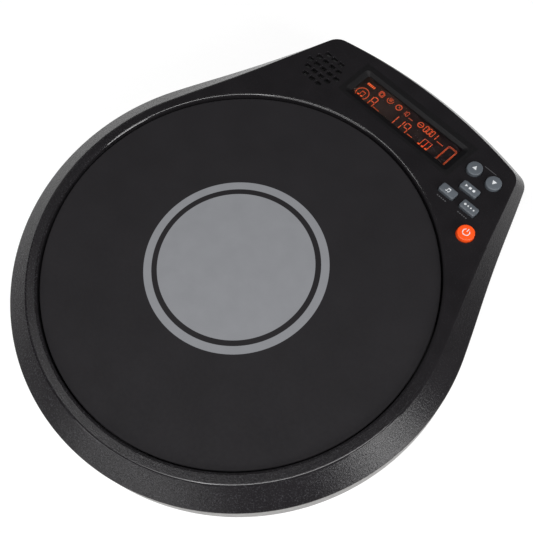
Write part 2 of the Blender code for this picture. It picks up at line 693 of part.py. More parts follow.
def make_sockets(root, finishes):
    """Headphone and power sockets, which open through the back of the bottom shell."""
    for name, x, half, height, nose, bore, depth in (
        ("headphone_jack", HEADPHONE_X, 0.0070, 0.0065, HEADPHONE_BORE - 0.0004, 0.0033, 0.0150),
        ("power_jack", POWER_X, 0.0050, 0.0060, POWER_BORE - 0.0004, 0.0030, 0.0095),
    ):
        body = box((-half, JACK_BODY_Y[0], JACK_Z - height), (half, JACK_BODY_Y[1], JACK_Z + height))
        jack = new_object(name, body, finishes["magnet"], root, (x, 0.0, 0.0))
        neck = turned_to(disc(nose, JACK_BODY_Y[1] - JACK_ROOT, JACK_FACE_Y, segments=24), (0, 1, 0))
        combine(jack, moved(neck, (0, 0, JACK_Z)), "UNION")
        hollow = [(0.0, 0.0), (bore, 0.0), (bore, depth + 0.002), (0.0, depth + 0.002)]
        if name == "power_jack":
            pin = 0.0010
            hollow = [(pin, 0.0), (bore, 0.0), (bore, depth + 0.002), (0.0, depth + 0.002)]
            hollow += [(0.0, depth - 0.001), (pin, depth - 0.001)]
        cavity = turned_to(turned(hollow, 20, ring=name == "power_jack"), (0, 1, 0))
        combine(jack, moved(cavity, (0, JACK_FACE_Y - depth, JACK_Z)), "DIFFERENCE")


# ---------------------------------------------------------------- battery bay
def make_door(root, finishes):
    """The battery door, with its origin on the hinge at its front edge and a latch at its rear."""
    half_width, half_length = DOOR_HALF
    knuckle = DOOR_THICKNESS / 2
    length = 2 * half_length - knuckle
    side = arc(0.0, 0.0, knuckle, math.pi / 2, 3 * math.pi / 2, 6) + [(0.0, -knuckle)]
    side += [(length - 0.0004, -knuckle), (length, -knuckle + 0.0004), (length, knuckle)]
    rings = [[(x, y, z) for y, z in side] for x in (-half_width, half_width)]
    location = (0.0, BAY_Y - half_length + knuckle, BASE_Z + knuckle)
    door = new_object("battery_door", loft(rings), finishes["silver_plastic"], root, location)
    latch = box((-0.006, length - 0.0028, 0.0), (0.006, length - 0.0016, 0.0035))
    combine(door, latch, "UNION")
    grooves = []
    for step in range(3):
        y = length - 0.0080 - 0.0025 * step
        grooves.append(box((-0.009, y, -0.002), (0.009, y + 0.0012, -knuckle + 0.0005)))
    combine(door, gathered(grooves), "DIFFERENCE")


def cell_solid():
    """One AA cell along +Y, its middle at the origin and its nub at the far end."""
    half = CELL_BODY / 2
    radius = CELL_RADIUS
    nub, height = CELL_NUB
    profile = [(0.0, -half), (radius - 0.0008, -half), (radius, -half + 0.0008)]
    profile += [(radius, half - 0.0008), (radius - 0.0008, half), (nub, half)]
    profile += [(nub, half + height), (0.0, half + height)]
    return turned_to(turned(profile, 14), (0, 1, 0))


def make_spring(name, x, y, direction, root, finishes):
    """A coil spring that presses on the flat end of a cell."""
    turns = 3
    per_turn = 8
    curve = bpy.data.curves.new(name, "CURVE")
    curve.dimensions = "3D"
    curve.bevel_depth = SPRING_WIRE
    curve.bevel_resolution = 0
    curve.use_fill_caps = True
    spline = curve.splines.new("POLY")
    count = turns * per_turn + 1
    spline.points.add(count - 1)
    for i in range(count):
        part = i / (count - 1)
        turn = math.tau * turns * part
        radius = 0.0042 - 0.0014 * part
        place = (radius * math.cos(turn), direction * SPRING_LENGTH * part, radius * math.sin(turn))
        spline.points[i].co = (*place, 1.0)
    curve.materials.append(finishes["steel"])
    made = bpy.data.objects.new(name, curve)
    made.location = (x, y, CELL_Z)
    made.parent = root
    bpy.context.scene.collection.objects.link(made)


def make_batteries(root, finishes):
    """Four cells in series, with a spring at each flat end and plates that link them."""
    thick = CONTACT_THICKNESS / 2
    nub_tip = PLATE_Y - thick - GAP
    for number in range(4):
        x = (number - 1.5) * CELL_PITCH
        facing = 1 if number % 2 == 0 else -1
        middle = BAY_Y + facing * (nub_tip - CELL_NUB[1] - CELL_BODY / 2)
        solid = cell_solid()
        if facing < 0:
            bmesh.ops.rotate(solid, cent=(0, 0, 0), matrix=Matrix.Rotation(math.pi, 3, "Z"),
                             verts=solid.verts)
        new_object(f"battery_cell_{number + 1}", solid, finishes["cell_wrap"], root, (x, middle, CELL_Z))
        seat = BAY_Y - facing * (nub_tip - SPRING_WIRE)
        make_spring(f"battery_spring_{number + 1}", x, seat, facing, root, finishes)
    pair, single = 0.85 * CELL_PITCH, 0.36 * CELL_PITCH
    plates = (
        ("contact_rear_left", -1.0, 1.0, pair), ("contact_rear_right", 1.0, 1.0, pair),
        ("contact_front_left", -1.5, -1.0, single), ("contact_front_middle", 0.0, -1.0, pair),
        ("contact_front_right", 1.5, -1.0, single),
    )
    for name, cells, end, half in plates:
        plate = box((-half, -thick, -CONTACT_HALF_HEIGHT), (half, thick, CONTACT_HALF_HEIGHT))
        place = (cells * CELL_PITCH, BAY_Y + end * PLATE_Y, CELL_Z)
        new_object(name, plate, finishes["steel"], root, place)


# ---------------------------------------------------------------- leads
def smooth_route(points, count):
    """Evenly spread points on a smooth curve through a route's points."""
    knots = [Vector(p) for p in points]
    knots = [2 * knots[0] - knots[1]] + knots + [2 * knots[-1] - knots[-2]]
    spans = len(points) - 1
    route = []
    for i in range(count):
        place = i / (count - 1) * spans
        k = min(int(place), spans - 1)
        t = place - k
        a, b, c, d = knots[k:k + 4]
        route.append(0.5 * (2 * b + (c - a) * t + (2 * a - 5 * b + 4 * c - d) * t**2
                            + (3 * b - a - 3 * c + d) * t**3))
    return route


def make_leads(root, finishes):
    """Thin leads that join the sensor, speaker and batteries to the main board."""
    leads = {
        "sensor_lead": [(0.0, 0.004, 0.0259), (0.002, 0.016, 0.0250), (0.004, 0.030, 0.0200),
                        (0.008, 0.070, 0.0130), (0.010, 0.105, 0.0140), (0.012, 0.126, 0.0205),
                        (0.013, 0.142, 0.0243)],
        "speaker_lead": [(-0.0586, 0.1465, 0.0240), (-0.0550, 0.1480, 0.0225), (-0.0490, 0.1500, 0.0222),
                         (-0.0420, 0.1510, 0.0238)],
        "battery_lead": [(0.020, 0.0125, 0.0160), (0.023, 0.024, 0.0145), (0.030, 0.060, 0.0125),
                         (0.030, 0.105, 0.0140), (0.028, 0.124, 0.0200), (0.027, 0.142, 0.0243)],
    }
    for name, points in leads.items():
        curve = bpy.data.curves.new(name, "CURVE")
        curve.dimensions = "3D"
        curve.bevel_depth = 0.0008
        curve.bevel_resolution = 1
        curve.use_fill_caps = True
        route = smooth_route(points, 16)
        spline = curve.splines.new("POLY")
        spline.points.add(len(route) - 1)
        for point, place in zip(spline.points, route):
            point.co = (*place, 1.0)
        curve.materials.append(finishes["lead_black"])
        made = bpy.data.objects.new(name, curve)
        made.parent = root
        bpy.context.scene.collection.objects.link(made)


# ---------------------------------------------------------------- assembly
def main():
    """Clear the scene and build the whole pad."""
    for old in list(bpy.data.objects):
        bpy.data.objects.remove(old, do_unlink=True)
    finishes = make_materials()
    root = bpy.data.objects.new("pad_centre", None)
    root.location = (0.0, PAD_Y, 0.0)
    bpy.context.scene.collection.objects.link(root)
    make_top_shell(root, finishes)
    make_bottom_shell(root, finishes)
    make_feet_and_screws(root, finishes)
    make_playing_pad(root, finishes)
    make_display(root, finishes)
    make_keys(root, finishes)
    make_boards(root, finishes)
    make_speaker(root, finishes)
    make_sockets(root, finishes)
    make_door(root, finishes)
    make_batteries(root, finishes)
    make_leads(root, finishes)


main()
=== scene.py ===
"""Looks of a digital drum practice pad: a rubber disc in a teardrop case with a control panel.

The shells, keys, rubber and everything else in view are modelled again here at full fineness, in
the places that the frame gives. Lengths are in metres, +X is right, +Y runs towards the control
panel, +Z is up, and the pad stands on Z = 0.
"""

import math

import bmesh
import bpy
from mathutils import Matrix, Vector


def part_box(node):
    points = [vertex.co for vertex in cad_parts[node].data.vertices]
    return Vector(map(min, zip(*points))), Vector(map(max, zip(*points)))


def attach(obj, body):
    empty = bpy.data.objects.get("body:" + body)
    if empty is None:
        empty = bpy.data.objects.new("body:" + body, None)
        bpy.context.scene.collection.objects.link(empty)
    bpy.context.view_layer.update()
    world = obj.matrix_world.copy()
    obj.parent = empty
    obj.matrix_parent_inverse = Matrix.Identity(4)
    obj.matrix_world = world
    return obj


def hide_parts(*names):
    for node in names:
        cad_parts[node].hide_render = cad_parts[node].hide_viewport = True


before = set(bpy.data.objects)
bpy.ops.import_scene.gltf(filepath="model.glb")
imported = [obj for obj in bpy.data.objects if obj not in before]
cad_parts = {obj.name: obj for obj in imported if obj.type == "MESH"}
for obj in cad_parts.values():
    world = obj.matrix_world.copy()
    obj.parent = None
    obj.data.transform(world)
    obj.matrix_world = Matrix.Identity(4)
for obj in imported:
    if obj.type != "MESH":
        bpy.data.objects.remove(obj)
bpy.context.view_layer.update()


# ---------------------------------------------------------------- places read from the frame
def middle(node):
    """Centre of a node's box."""
    low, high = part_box(node)
    return Vector([(a + b) / 2 for a, b in zip(low, high)])


def extent(node):
    """Size of a node's box."""
    low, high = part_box(node)
    return Vector([b - a for a, b in zip(low, high)])


PAD = middle("rubber_pad")
PAD_X, PAD_Y = PAD.x, PAD.y
PLAYING_RADIUS = extent("rubber_pad").x / 2
RUBBER_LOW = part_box("rubber_pad")[0][2]
RUBBER_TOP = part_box("rubber_pad")[1][2]
CASE_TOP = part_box("top_shell")[1][2]
BAND_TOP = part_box("bottom_shell")[1][2]
BASE_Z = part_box("bottom_shell")[0][2]
GAP = 0.0003
SEAM_Z = BAND_TOP + GAP
WALL = 0.0024
SHARP = 32.0                  # edges that turn by more degrees than this stay sharp
CLEAR = 0.001                 # how far a cutting tool reaches past the surface it starts from

# ---------------------------------------------------------------- driving dimensions
# Teardrop outlines about the pad centre: (round radius, side angle, back edge, corner radius)
SEAM_RADIUS = extent("top_shell").x / 2
BAND_RADIUS = extent("bottom_shell").x / 2
SEAM_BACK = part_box("top_shell")[1][1] - PAD_Y
BAND_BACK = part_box("bottom_shell")[1][1] - PAD_Y
FLARE = BAND_RADIUS - SEAM_RADIUS
RIDGE = (0.1357, math.radians(20.2), 0.1806, 0.0115)
SEAM = (SEAM_RADIUS, math.radians(23.5), SEAM_BACK, 0.0125)
BAND = (BAND_RADIUS, math.radians(23.5), BAND_BACK, 0.0125 + FLARE)
SIDE_BOW = 0.0010
BACK_CURVE = 0.360
ROUND_STEPS = 176
SIDE_STEPS = 22
CORNER_STEPS = 12
BACK_STEPS = 44

RECESS_RADIUS = 0.1287
RECESS_LIP = 0.0016
LEDGE_INNER = 0.1130
LEDGE_Z = 0.0250
LEDGE_THICKNESS = 0.0020
FOAM_INNER = 0.1145
RECESS_WALL = 0.0022
RIDGE_SOFT = 0.0009
SEAM_SOFT = 0.0003
BASE_SOFT = 0.0003
BASE_ROLL = (0.0042, 0.0055)      # how far the band rolls under at its base, and from what height
POLISHED_TO = 0.120           # how far past the pad's middle the ridge is polished
GLINT_SPECKS_FADE = (-0.02, 0.06)   # where past the pad's middle the grain's pale specks, painted glints, fade out

TARGET_DISC = 0.05074
TARGET_GAP = 0.05433
TARGET_RING = 0.05957

DISPLAY = middle("display_window")
DISPLAY_OPENING = (0.0855, 0.0174)
DISPLAY_RECESS = (0.0930, 0.0236)
RECESS_STEP = 0.0008
DISPLAY_DEPTH = 0.0018
DISPLAY_SHADED_DULL = (0.0500, 0.0150)   # half sizes of the dull area around the display, painted darker as shade
SPEAKER = middle("speaker_frame")
GRILLE_ROWS = (3, 4, 5, 4, 3)
GRILLE_PITCH = (0.0064, 0.0056)
GRILLE_HOLE = (0.0047, 0.0031)

KEY_FLANGE = 0.0010
KEY_HOLE_GAP = 0.0004
KEY_DOME = 0.00035
KEY_SOFT = 0.0006
KEY_STEM = 0.0016
FLANGE_Z = 0.0340
FLANGE_THICKNESS = 0.0012
ROUND_KEYS = ("up_button", "down_button", "power_button")
BAR_KEYS = ("mode_button", "tone_button", "beat_button")
BAR_CORNER = 0.0014
PRINT_THICKNESS = 0.00004
PRINT_PROUD = 0.000024

BOSS_MEET_Z = 0.0215
POST_RADIUS = 0.0048
COUNTERBORE = 0.0034
SCREW_HOLE = 0.0018
SCREW_LEDGE = 0.0025
SCREW_SHANK = (0.0014, 0.0011)    # radii at a thread's crest and at its root
SCREW_HEAD = 0.0022
SCREW_PITCH = 0.0006
FOOT_SOFT = 0.0008
DOOR_THICKNESS = 0.0018
SOCKET_BODY = 0.0140
SPRING_WIRE = 0.00035
SPRING_RADII = (0.0042, 0.0028)   # at the case and at the cell
SPRING_TURNS = 3
SCREWS = [n for n in sorted(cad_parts) if n.startswith("case_screw")]
FEET = [n for n in sorted(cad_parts) if n.startswith("foot_")]
CELLS = [n for n in sorted(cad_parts) if n.startswith("battery_cell")]
SPRINGS = [n for n in sorted(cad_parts) if n.startswith("battery_spring")]

BAY = middle("battery_door")
BAY_INNER = (0.0316, 0.0285)
BAY_RECESS = (0.0330, 0.0300)
BAY_OUTER = (0.0348, 0.0312)
BAY_ROOF = (0.0206, 0.0222)
BAY_MIDDLE_Y = (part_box("contact_rear_left")[0][1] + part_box("contact_front_left")[1][1]) / 2
JACK_Z = middle("power_jack").z
CELL_Z = middle("battery_cell_1").z


# ---------------------------------------------------------------- outlines
def arc(cx, cy, radius, start, end, steps):
    """Points along an arc, without its last one."""
    turns = [start + (end - start) * i / steps for i in range(steps)]
    return [(cx + radius * math.cos(t), cy + radius * math.sin(t)) for t in turns]


def hollowed(start, end, steps):
    """Points along a side that is hollowed towards the left of its run, without its last one."""
    start = Vector(start)
    run = Vector(end) - start
    inward = Vector((-run.y, run.x)).normalized()
    points = []
    for i in range(steps):
        part = i / steps
        points.append(tuple(start + run * part + inward * SIDE_BOW * math.sin(math.pi * part) ** 2))
    return points


def teardrop(shape, inset=0.0):
    """The case's outline about the pad centre: round body, hollow sides, corners, bowed back."""
    radius = shape[0] - inset
    side = shape[1]
    back_radius = BACK_CURVE - inset
    back_centre = shape[2] - inset - back_radius
    corner = max(shape[3] - inset, 0.0025)
    along = Vector((-math.sin(side), math.cos(side)))
    offset = Vector((math.cos(side), math.sin(side))) * (radius - corner) - Vector((0, back_centre))
    reach = back_radius - corner
    slide = -offset.dot(along) + math.sqrt(offset.dot(along) ** 2 - offset.length_squared + reach**2)
    cx, cy = Vector((math.cos(side), math.sin(side))) * (radius - corner) + along * slide
    back_turn = math.atan2(cy - back_centre, cx)
    round_end = (radius * math.cos(side), radius * math.sin(side))
    corner_start = (cx + corner * math.cos(side), cy + corner * math.sin(side))
    points = arc(0.0, 0.0, radius, math.pi - side, math.tau + side, ROUND_STEPS)
    points += hollowed(round_end, corner_start, SIDE_STEPS)
    points += arc(cx, cy, corner, side, back_turn, CORNER_STEPS)
    points += arc(0.0, back_centre, back_radius, back_turn, math.pi - back_turn, BACK_STEPS)
    points += arc(-cx, cy, corner, math.pi - back_turn, math.pi - side, CORNER_STEPS)
    points += hollowed((-corner_start[0], corner_start[1]), (-round_end[0], round_end[1]), SIDE_STEPS)
    return points


def matched_circle(radius):
    """A circle with one point in line with each point of the ridge outline."""
    turns = [math.atan2(y, x) for x, y in teardrop(RIDGE)]
    return [(radius * math.cos(t), radius * math.sin(t)) for t in turns]


def circle(radius, steps=48):
    """A circle about the origin."""
    return arc(0.0, 0.0, radius, 0.0, math.tau, steps)


def rounding(steps, first=0):
    """A quarter turn as (fall, rise) pairs: fall goes from 1 to 0 while rise goes from 0 to 1."""
    turns = [math.pi / 2 * step / steps for step in range(first, steps + 1)]
    return [(1 - math.sin(turn), 1 - math.cos(turn)) for turn in turns]


def rounded_rectangle(width, depth, corner, steps=8):
    """A rounded rectangle about the origin, anticlockwise."""
    half_x = width / 2 - corner
    half_y = depth / 2 - corner
    quarter = math.pi / 2
    points = []
    for i, (sx, sy) in enumerate(((1, 1), (-1, 1), (-1, -1), (1, -1))):
        for j in range(steps + 1):
            turn = i * quarter + quarter * j / steps
            points.append((sx * half_x + corner * math.cos(turn), sy * half_y + corner * math.sin(turn)))
    return points


# ---------------------------------------------------------------- mesh tools
def at_height(points, z):
    """Flat points lifted to one height."""
    return [(x, y, z) for x, y in points]


def soft_corner(before, at, after, steps=5):
    """Rings that round a corner between three rings, as one quadratic curve at each point."""
    rings = []
    for step in range(steps + 1):
        t = step / steps
        rings.append([
            tuple((1 - t) ** 2 * a + 2 * t * (1 - t) * b + t * t * c for a, b, c in zip(p, q, r))
            for p, q, r in zip(before, at, after)
        ])
    return rings


def between(first, second, part):
    """The ring a part of the way from one ring to another."""
    return [tuple(a + (b - a) * part for a, b in zip(p, q)) for p, q in zip(first, second)]


def loft(rings, closed=False):
    """A skin over rings of equal point count, capped at its ends or closed into a loop."""
    mesh = bmesh.new()
    loops = [[mesh.verts.new(point) for point in ring] for ring in rings]
    pairs = list(zip(loops, loops[1:]))
    if closed:
        pairs.append((loops[-1], loops[0]))
    else:
        mesh.faces.new(loops[0])
        mesh.faces.new(loops[-1])
    for first, second in pairs:
        for i in range(len(first)):
            j = (i + 1) % len(first)
            mesh.faces.new((first[i], first[j], second[j], second[i]))
    bmesh.ops.recalc_face_normals(mesh, faces=mesh.faces)
    return mesh


def turned(profile, segments=64, ring=False):
    """A profile of (radius, height) spun about Z; it runs from axis to axis unless it is a ring."""
    mesh = bmesh.new()
    verts = [mesh.verts.new((radius, 0.0, z)) for radius, z in profile]
    edges = [mesh.edges.new(pair) for pair in zip(verts, verts[1:])]
    if ring:
        edges.append(mesh.edges.new((verts[-1], verts[0])))
    bmesh.ops.spin(
        mesh, geom=verts + edges, cent=(0, 0, 0), axis=(0, 0, 1), dvec=(0, 0, 0),
        angle=math.tau, steps=segments, use_merge=True, use_normal_flip=False, use_duplicate=False,
    )
    bmesh.ops.remove_doubles(mesh, verts=mesh.verts, dist=1e-6)
    bmesh.ops.recalc_face_normals(mesh, faces=mesh.faces)
    return mesh


def prism(points, low, high):
    """An outline extruded upwards."""
    return loft([at_height(points, low), at_height(points, high)])


def box_solid(low, high):
    """A box between two corners."""
    corners = [(low[0], low[1]), (high[0], low[1]), (high[0], high[1]), (low[0], high[1])]
    return prism(corners, low[2], high[2])


def slab(size, low, high, soft, corners, steps=8):
    """A block with rounded corners and soft edges; corners are its full and its drawn-in radius."""
    full = rounded_rectangle(*size, corners[0], steps)
    less = rounded_rectangle(*(side - 2 * soft for side in size), corners[1], steps)
    heights = ((less, low), (full, low + soft), (full, high - soft), (less, high))
    return loft([at_height(outline, z) for outline, z in heights])


def moved(mesh, offset):
    """The same mesh, shifted."""
    bmesh.ops.translate(mesh, vec=Vector(offset), verts=mesh.verts)
    return mesh


def over(node, mesh, z=0.0):
    """The same mesh, shifted to the middle of a node's box and to a height."""
    return moved(mesh, (*middle(node).xy, z))


def laid_back(mesh):
    """The same mesh, its Z turned to +Y."""
    turn = Matrix.Rotation(-math.pi / 2, 3, "X")
    bmesh.ops.rotate(mesh, cent=(0, 0, 0), matrix=turn, verts=mesh.verts)
    return mesh


def gathered(meshes):
    """Several meshes as one."""
    result = bmesh.new()
    for mesh in meshes:
        carrier = bpy.data.meshes.new("carrier")
        mesh.to_mesh(carrier)
        mesh.free()
        result.from_mesh(carrier)
        bpy.data.meshes.remove(carrier)
    return result


def add_object(name, mesh, sharp=SHARP):
    """A shaded object made from a mesh, with no material yet."""
    data = bpy.data.meshes.new(name)
    mesh.to_mesh(data)
    mesh.free()
    made = bpy.data.objects.new(name, data)
    bpy.context.scene.collection.objects.link(made)
    shade(data, sharp)
    return made


def shade(data, sharp):
    """Smooth shading that breaks at sharp edges."""
    data.shade_smooth()
    data.set_sharp_from_angle(angle=math.radians(sharp))


def combine(target, mesh, operation):
    """Add or cut a tool shape, and keep the result as the object's own mesh."""
    tool = add_object(target.name + "_tool", mesh)
    modifier = target.modifiers.new(operation.lower(), "BOOLEAN")
    modifier.operation = operation
    modifier.solver = "EXACT"
    modifier.object = tool
    graph = bpy.context.evaluated_depsgraph_get()
    result = bpy.data.meshes.new_from_object(target.evaluated_get(graph))
    target.modifiers.clear()
    old = target.data
    target.data = result
    bpy.data.meshes.remove(old)
    bpy.data.objects.remove(tool, do_unlink=True)
    shade(result, SHARP)


def keep_flats(target):
    """Shade large flat faces flat where they meet small rounded edges."""
    modifier = target.modifiers.new("flats", "WEIGHTED_NORMAL")
    modifier.keep_sharp = True
    modifier.weight = 60


def finish_piece(piece, finish, body, nodes=()):
    """Give a piece its material, let it ride on its body and hide the CAD nodes it stands for."""
    if piece.type == "MESH":
        piece.data.materials.clear()
        keep_flats(piece)
    piece.data.materials.append(FINISHES[finish])
    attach(piece, body)
    if nodes:
        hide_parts(*nodes)


# ---------------------------------------------------------------- materials
class Finish:
    """A Principled material whose nodes are added one after another."""

    def __init__(self, name, roughness=0.5, metallic=0.0, specular=0.5):
        self.made = bpy.data.materials.new(name)
        self.made.use_nodes = True
        self.tree = self.made.node_tree
        self.shader = self.tree.nodes["Principled BSDF"]
        self.shader.inputs["Roughness"].default_value = roughness
        self.shader.inputs["Metallic"].default_value = metallic
        self.shader.inputs["Specular IOR Level"].default_value = specular
        self.place = self.tree.nodes.new("ShaderNodeTexCoord").outputs["Object"]

    def node(self, kind, inputs=None, **settings):
        """A node with its settings and its inputs, which are values or other nodes' outputs."""
        made = self.tree.nodes.new(kind)
        for key, value in settings.items():
            setattr(made, key, value)
        for key, value in (inputs or {}).items():
            if isinstance(value, bpy.types.NodeSocket):
                self.tree.links.new(value, made.inputs[key])
            else:
                made.inputs[key].default_value = value
        return made

    def noise(self, size, detail=2.0, roughness=0.5, place=None):
        """A cloudy value with features of about the given size."""
        inputs = {"Vector": place or self.place, "Scale": 1.0 / size, "Detail": detail}
        inputs["Roughness"] = roughness
        return self.node("ShaderNodeTexNoise", inputs).outputs["Fac"]

    def remap(self, value, low, high, to_low, to_high, smooth=False):
        """A value moved from one range to another, and held there."""
        inputs = {"Value": value, "From Min": low, "From Max": high, "To Min": to_low, "To Max": to_high}
        kind = "SMOOTHSTEP" if smooth else "LINEAR"
        return self.node("ShaderNodeMapRange", inputs, interpolation_type=kind).outputs["Result"]

    def math(self, operation, first, second=0.0):
        """One arithmetic step."""
        made = self.node("ShaderNodeMath", {0: first, 1: second}, operation=operation)
        return made.outputs["Value"]

    def blend(self, factor, first, second):
        """Two colours mixed by a factor."""
        made = self.node("ShaderNodeMix", data_type="RGBA")
        for socket, value in ((made.inputs[0], factor), (made.inputs[6], first), (made.inputs[7], second)):
            if isinstance(value, bpy.types.NodeSocket):
                self.tree.links.new(value, socket)
            elif isinstance(value, tuple):
                socket.default_value = (*value, 1.0)
            else:
                socket.default_value = value
        return made.outputs[2]

    def times(self, first, second):
        """A product of two values."""
        return self.math("MULTIPLY", first, second)

    def rest(self, value):
        """What a value lacks of one."""
        return self.math("SUBTRACT", 1.0, value)

    def vector(self, operation, first, second=(0.0, 0.0, 0.0)):
        """One arithmetic step on vectors; a length is a plain value."""
        made = self.node("ShaderNodeVectorMath", {0: first, 1: second}, operation=operation)
        return made.outputs["Value" if operation == "LENGTH" else "Vector"]

    def axes(self, vector=None):
        """The X, Y and Z of a vector, or else of the place."""
        return self.node("ShaderNodeSeparateXYZ", {"Vector": vector or self.place}).outputs

    def reach(self, x, y):
        """Distance from an upright axis."""
        level = self.vector("MULTIPLY", self.vector("SUBTRACT", self.place, (x, y, 0.0)), (1.0, 1.0, 0.0))
        return self.vector("LENGTH", level)

    def set(self, socket, value):
        """Drive one of the shader's inputs, or set it."""
        if isinstance(value, bpy.types.NodeSocket):
            self.tree.links.new(value, self.shader.inputs[socket])
        elif isinstance(value, tuple):
            self.shader.inputs[socket].default_value = (*value, 1.0)
        else:
            self.shader.inputs[socket].default_value = value

    def clouded(self, colour, amount, size):
        """A base colour that drifts a little lighter and darker."""
        dark = tuple(c * (1 - amount) for c in colour)
        light = tuple(min(c * (1 + amount), 1.0) for c in colour)
        return self.blend(self.uneven(size, 3.0, 0.0, 1.0), dark, light)

    def uneven(self, size, detail, low, high):
        """A value that wanders between two bounds."""
        return self.remap(self.noise(size, detail), 0.3, 0.7, low, high)

    def bump(self, height, depth):
        """Relief from a height value."""
        inputs = {"Height": height, "Distance": depth, "Strength": 1.0}
        self.set("Normal", self.node("ShaderNodeBump", inputs).outputs["Normal"])


def moulded(name, colour, roughness, grain, depth, cloud=0.10):
    """Moulded plastic: clouded colour, uneven sheen and a fine spark-eroded grain."""
    made = Finish(name, roughness)
    made.set("Base Color", made.clouded(colour, cloud, 0.018))
    made.set("Roughness", made.uneven(0.004, 4.0, roughness - 0.05, roughness + 0.05))
    made.bump(made.noise(grain, 2.0, 0.6), depth)
    return made.made


def case_black():
    """Black ABS with a coarse sparkling grain.

    The ridge around the body and the lip around the rubber are polished, the display recess is dull
    and painted darker as shade, and the grain's pale specks, painted glints, fade towards the control
    panel.
    """
    made = Finish("case_black", 0.30, specular=0.26)
    place = made.axes()
    grain = made.noise(0.0011, 3.0, 0.75)

    below = made.remap(place["Z"], CASE_TOP - 0.0007, CASE_TOP - 0.0004, 0.0, 1.0)
    ridge = made.times(below, made.remap(place["Z"], CASE_TOP - 0.00003, CASE_TOP - 0.00001, 1.0, 0.0))
    ridge = made.times(ridge, made.math("LESS_THAN", place["Y"], PAD_Y + POLISHED_TO))
    lip_end = RECESS_RADIUS + RECESS_LIP
    lip = made.remap(made.reach(PAD_X, PAD_Y), lip_end - 0.0002, lip_end, 1.0, 0.0)
    polished = made.math("MAXIMUM", lip, ridge)
    grained = made.rest(polished)

    apart = made.vector("ABSOLUTE", made.vector("SUBTRACT", made.place, tuple(DISPLAY)))
    share = made.axes(made.vector("DIVIDE", apart, (*DISPLAY_SHADED_DULL, 1.0)))
    outside = made.math("GREATER_THAN", made.math("MAXIMUM", share["X"], share["Y"]), 1.0)

    fade_start, fade_end = (PAD_Y + part for part in GLINT_SPECKS_FADE)
    faded = made.remap(place["Y"], fade_start, fade_end, 1.0, 0.0, smooth=True)
    # Pale specks in the base colour: painted glints of the grain, fading out towards the control panel.
    glint_speck = made.times(made.remap(made.noise(0.0010, 2.0, 0.7), 0.54, 0.66, 0.0, 1.0), faded)
    black = made.clouded((0.0148, 0.0136, 0.0152), 0.12, 0.02)
    black = made.blend(glint_speck, black, (0.0400, 0.0390, 0.0430))
    # Around the display recess the base colour is painted darker, as shade in the recess.
    made.set("Base Color", made.blend(outside, (0.0060, 0.0056, 0.0064), black))

    rough = made.times(made.remap(grain, 0.35, 0.65, 0.13, 0.28), grained)
    duller = made.math("ADD", made.times(made.rest(outside), 0.35), made.times(polished, 0.10))
    made.set("Roughness", made.math("ADD", rough, duller))
    made.set("Coat Weight", made.math("MAXIMUM", lip, made.times(ridge, 0.35)))
    made.set("Coat Roughness", 0.06)
    made.bump(made.times(grain, grained), 0.00017)
    return made.made


def pad_rubber():
    """Matt rubber with a printed grey target: disc, gap and ring, their edges a little ragged."""
    made = Finish("pad_rubber", 0.72, specular=0.16)
    feather = 0.00012
    ragged = made.math("MULTIPLY_ADD", made.noise(0.0008, 2.0), feather)
    ragged.node.inputs[2].default_value = -feather / 2
    reach = made.math("ADD", made.reach(PAD_X, PAD_Y), ragged)

    def inside(radius):
        return made.remap(reach, radius - feather, radius + feather, 1.0, 0.0, smooth=True)

    ring = made.times(inside(TARGET_RING), made.rest(inside(TARGET_GAP)))
    printed = made.math("MAXIMUM", inside(TARGET_DISC), ring)
    rubber = made.clouded((0.0185, 0.0172, 0.0192), 0.08, 0.03)
    ink = made.clouded((0.262, 0.267, 0.284), 0.03, 0.012)
    made.set("Base Color", made.blend(printed, rubber, ink))
    sheen = made.uneven(0.002, 3.0, 0.66, 0.78)
    made.set("Roughness", made.math("SUBTRACT", sheen, made.times(printed, 0.12)))
    weave = made.noise(0.0009, 3.0, 0.6)
    made.bump(made.math("ADD", weave, made.times(printed, 0.25)), 0.00004)
    return made.made


def display_glass():
    """Dark display behind a smoked window, a little warmer where its light leaks through."""
    made = Finish("display_glass", 0.35, specular=0.3)
    warm = made.remap(made.axes()["X"], -0.042, 0.042, 1.0, 0.25, smooth=True)
    warm = made.times(warm, made.uneven(0.012, 2.0, 0.7, 1.1))
    made.set("Base Color", made.blend(warm, (0.012, 0.011, 0.013), (0.025, 0.019, 0.017)))
    made.set("Emission Color", made.blend(warm, (0.006, 0.005, 0.007), (0.017, 0.012, 0.010)))
    made.set("Emission Strength", 0.6)
    return made.made


def display_window():
    """Clear acrylic with a faint smoke, so that the display shows through."""
    made = Finish("display_window", 0.04)
    made.set("Base Color", made.clouded((0.90, 0.86, 0.86), 0.03, 0.02))
    made.set("Transmission Weight", 1.0)
    made.set("IOR", 1.06)
    made.set("Roughness", made.uneven(0.01, 3.0, 0.02, 0.05))
    return made.made


def glowing(name, colour, strength):
    """A lit surface with slight unevenness."""
    made = Finish(name, 0.4)
    made.set("Base Color", made.clouded(colour, 0.06, 0.003))
    made.set("Emission Color", made.clouded(colour, 0.10, 0.002))
    made.set("Emission Strength", strength)
    return made.made


def key_orange():
    """Translucent orange key, lit from below: brightest around its middle."""
    made = Finish("key_orange", 0.32)
    centre = middle("power_button")
    glow = made.remap(made.reach(centre.x, centre.y), 0.001, 0.0062, 1.0, 0.45, smooth=True)
    made.set("Base Color", made.clouded((0.85, 0.085, 0.012), 0.05, 0.003))
    made.set("Emission Color", made.blend(glow, (0.32, 0.02, 0.002), (0.80, 0.075, 0.008)))
    made.set("Emission Strength", 0.45)
    return made.made


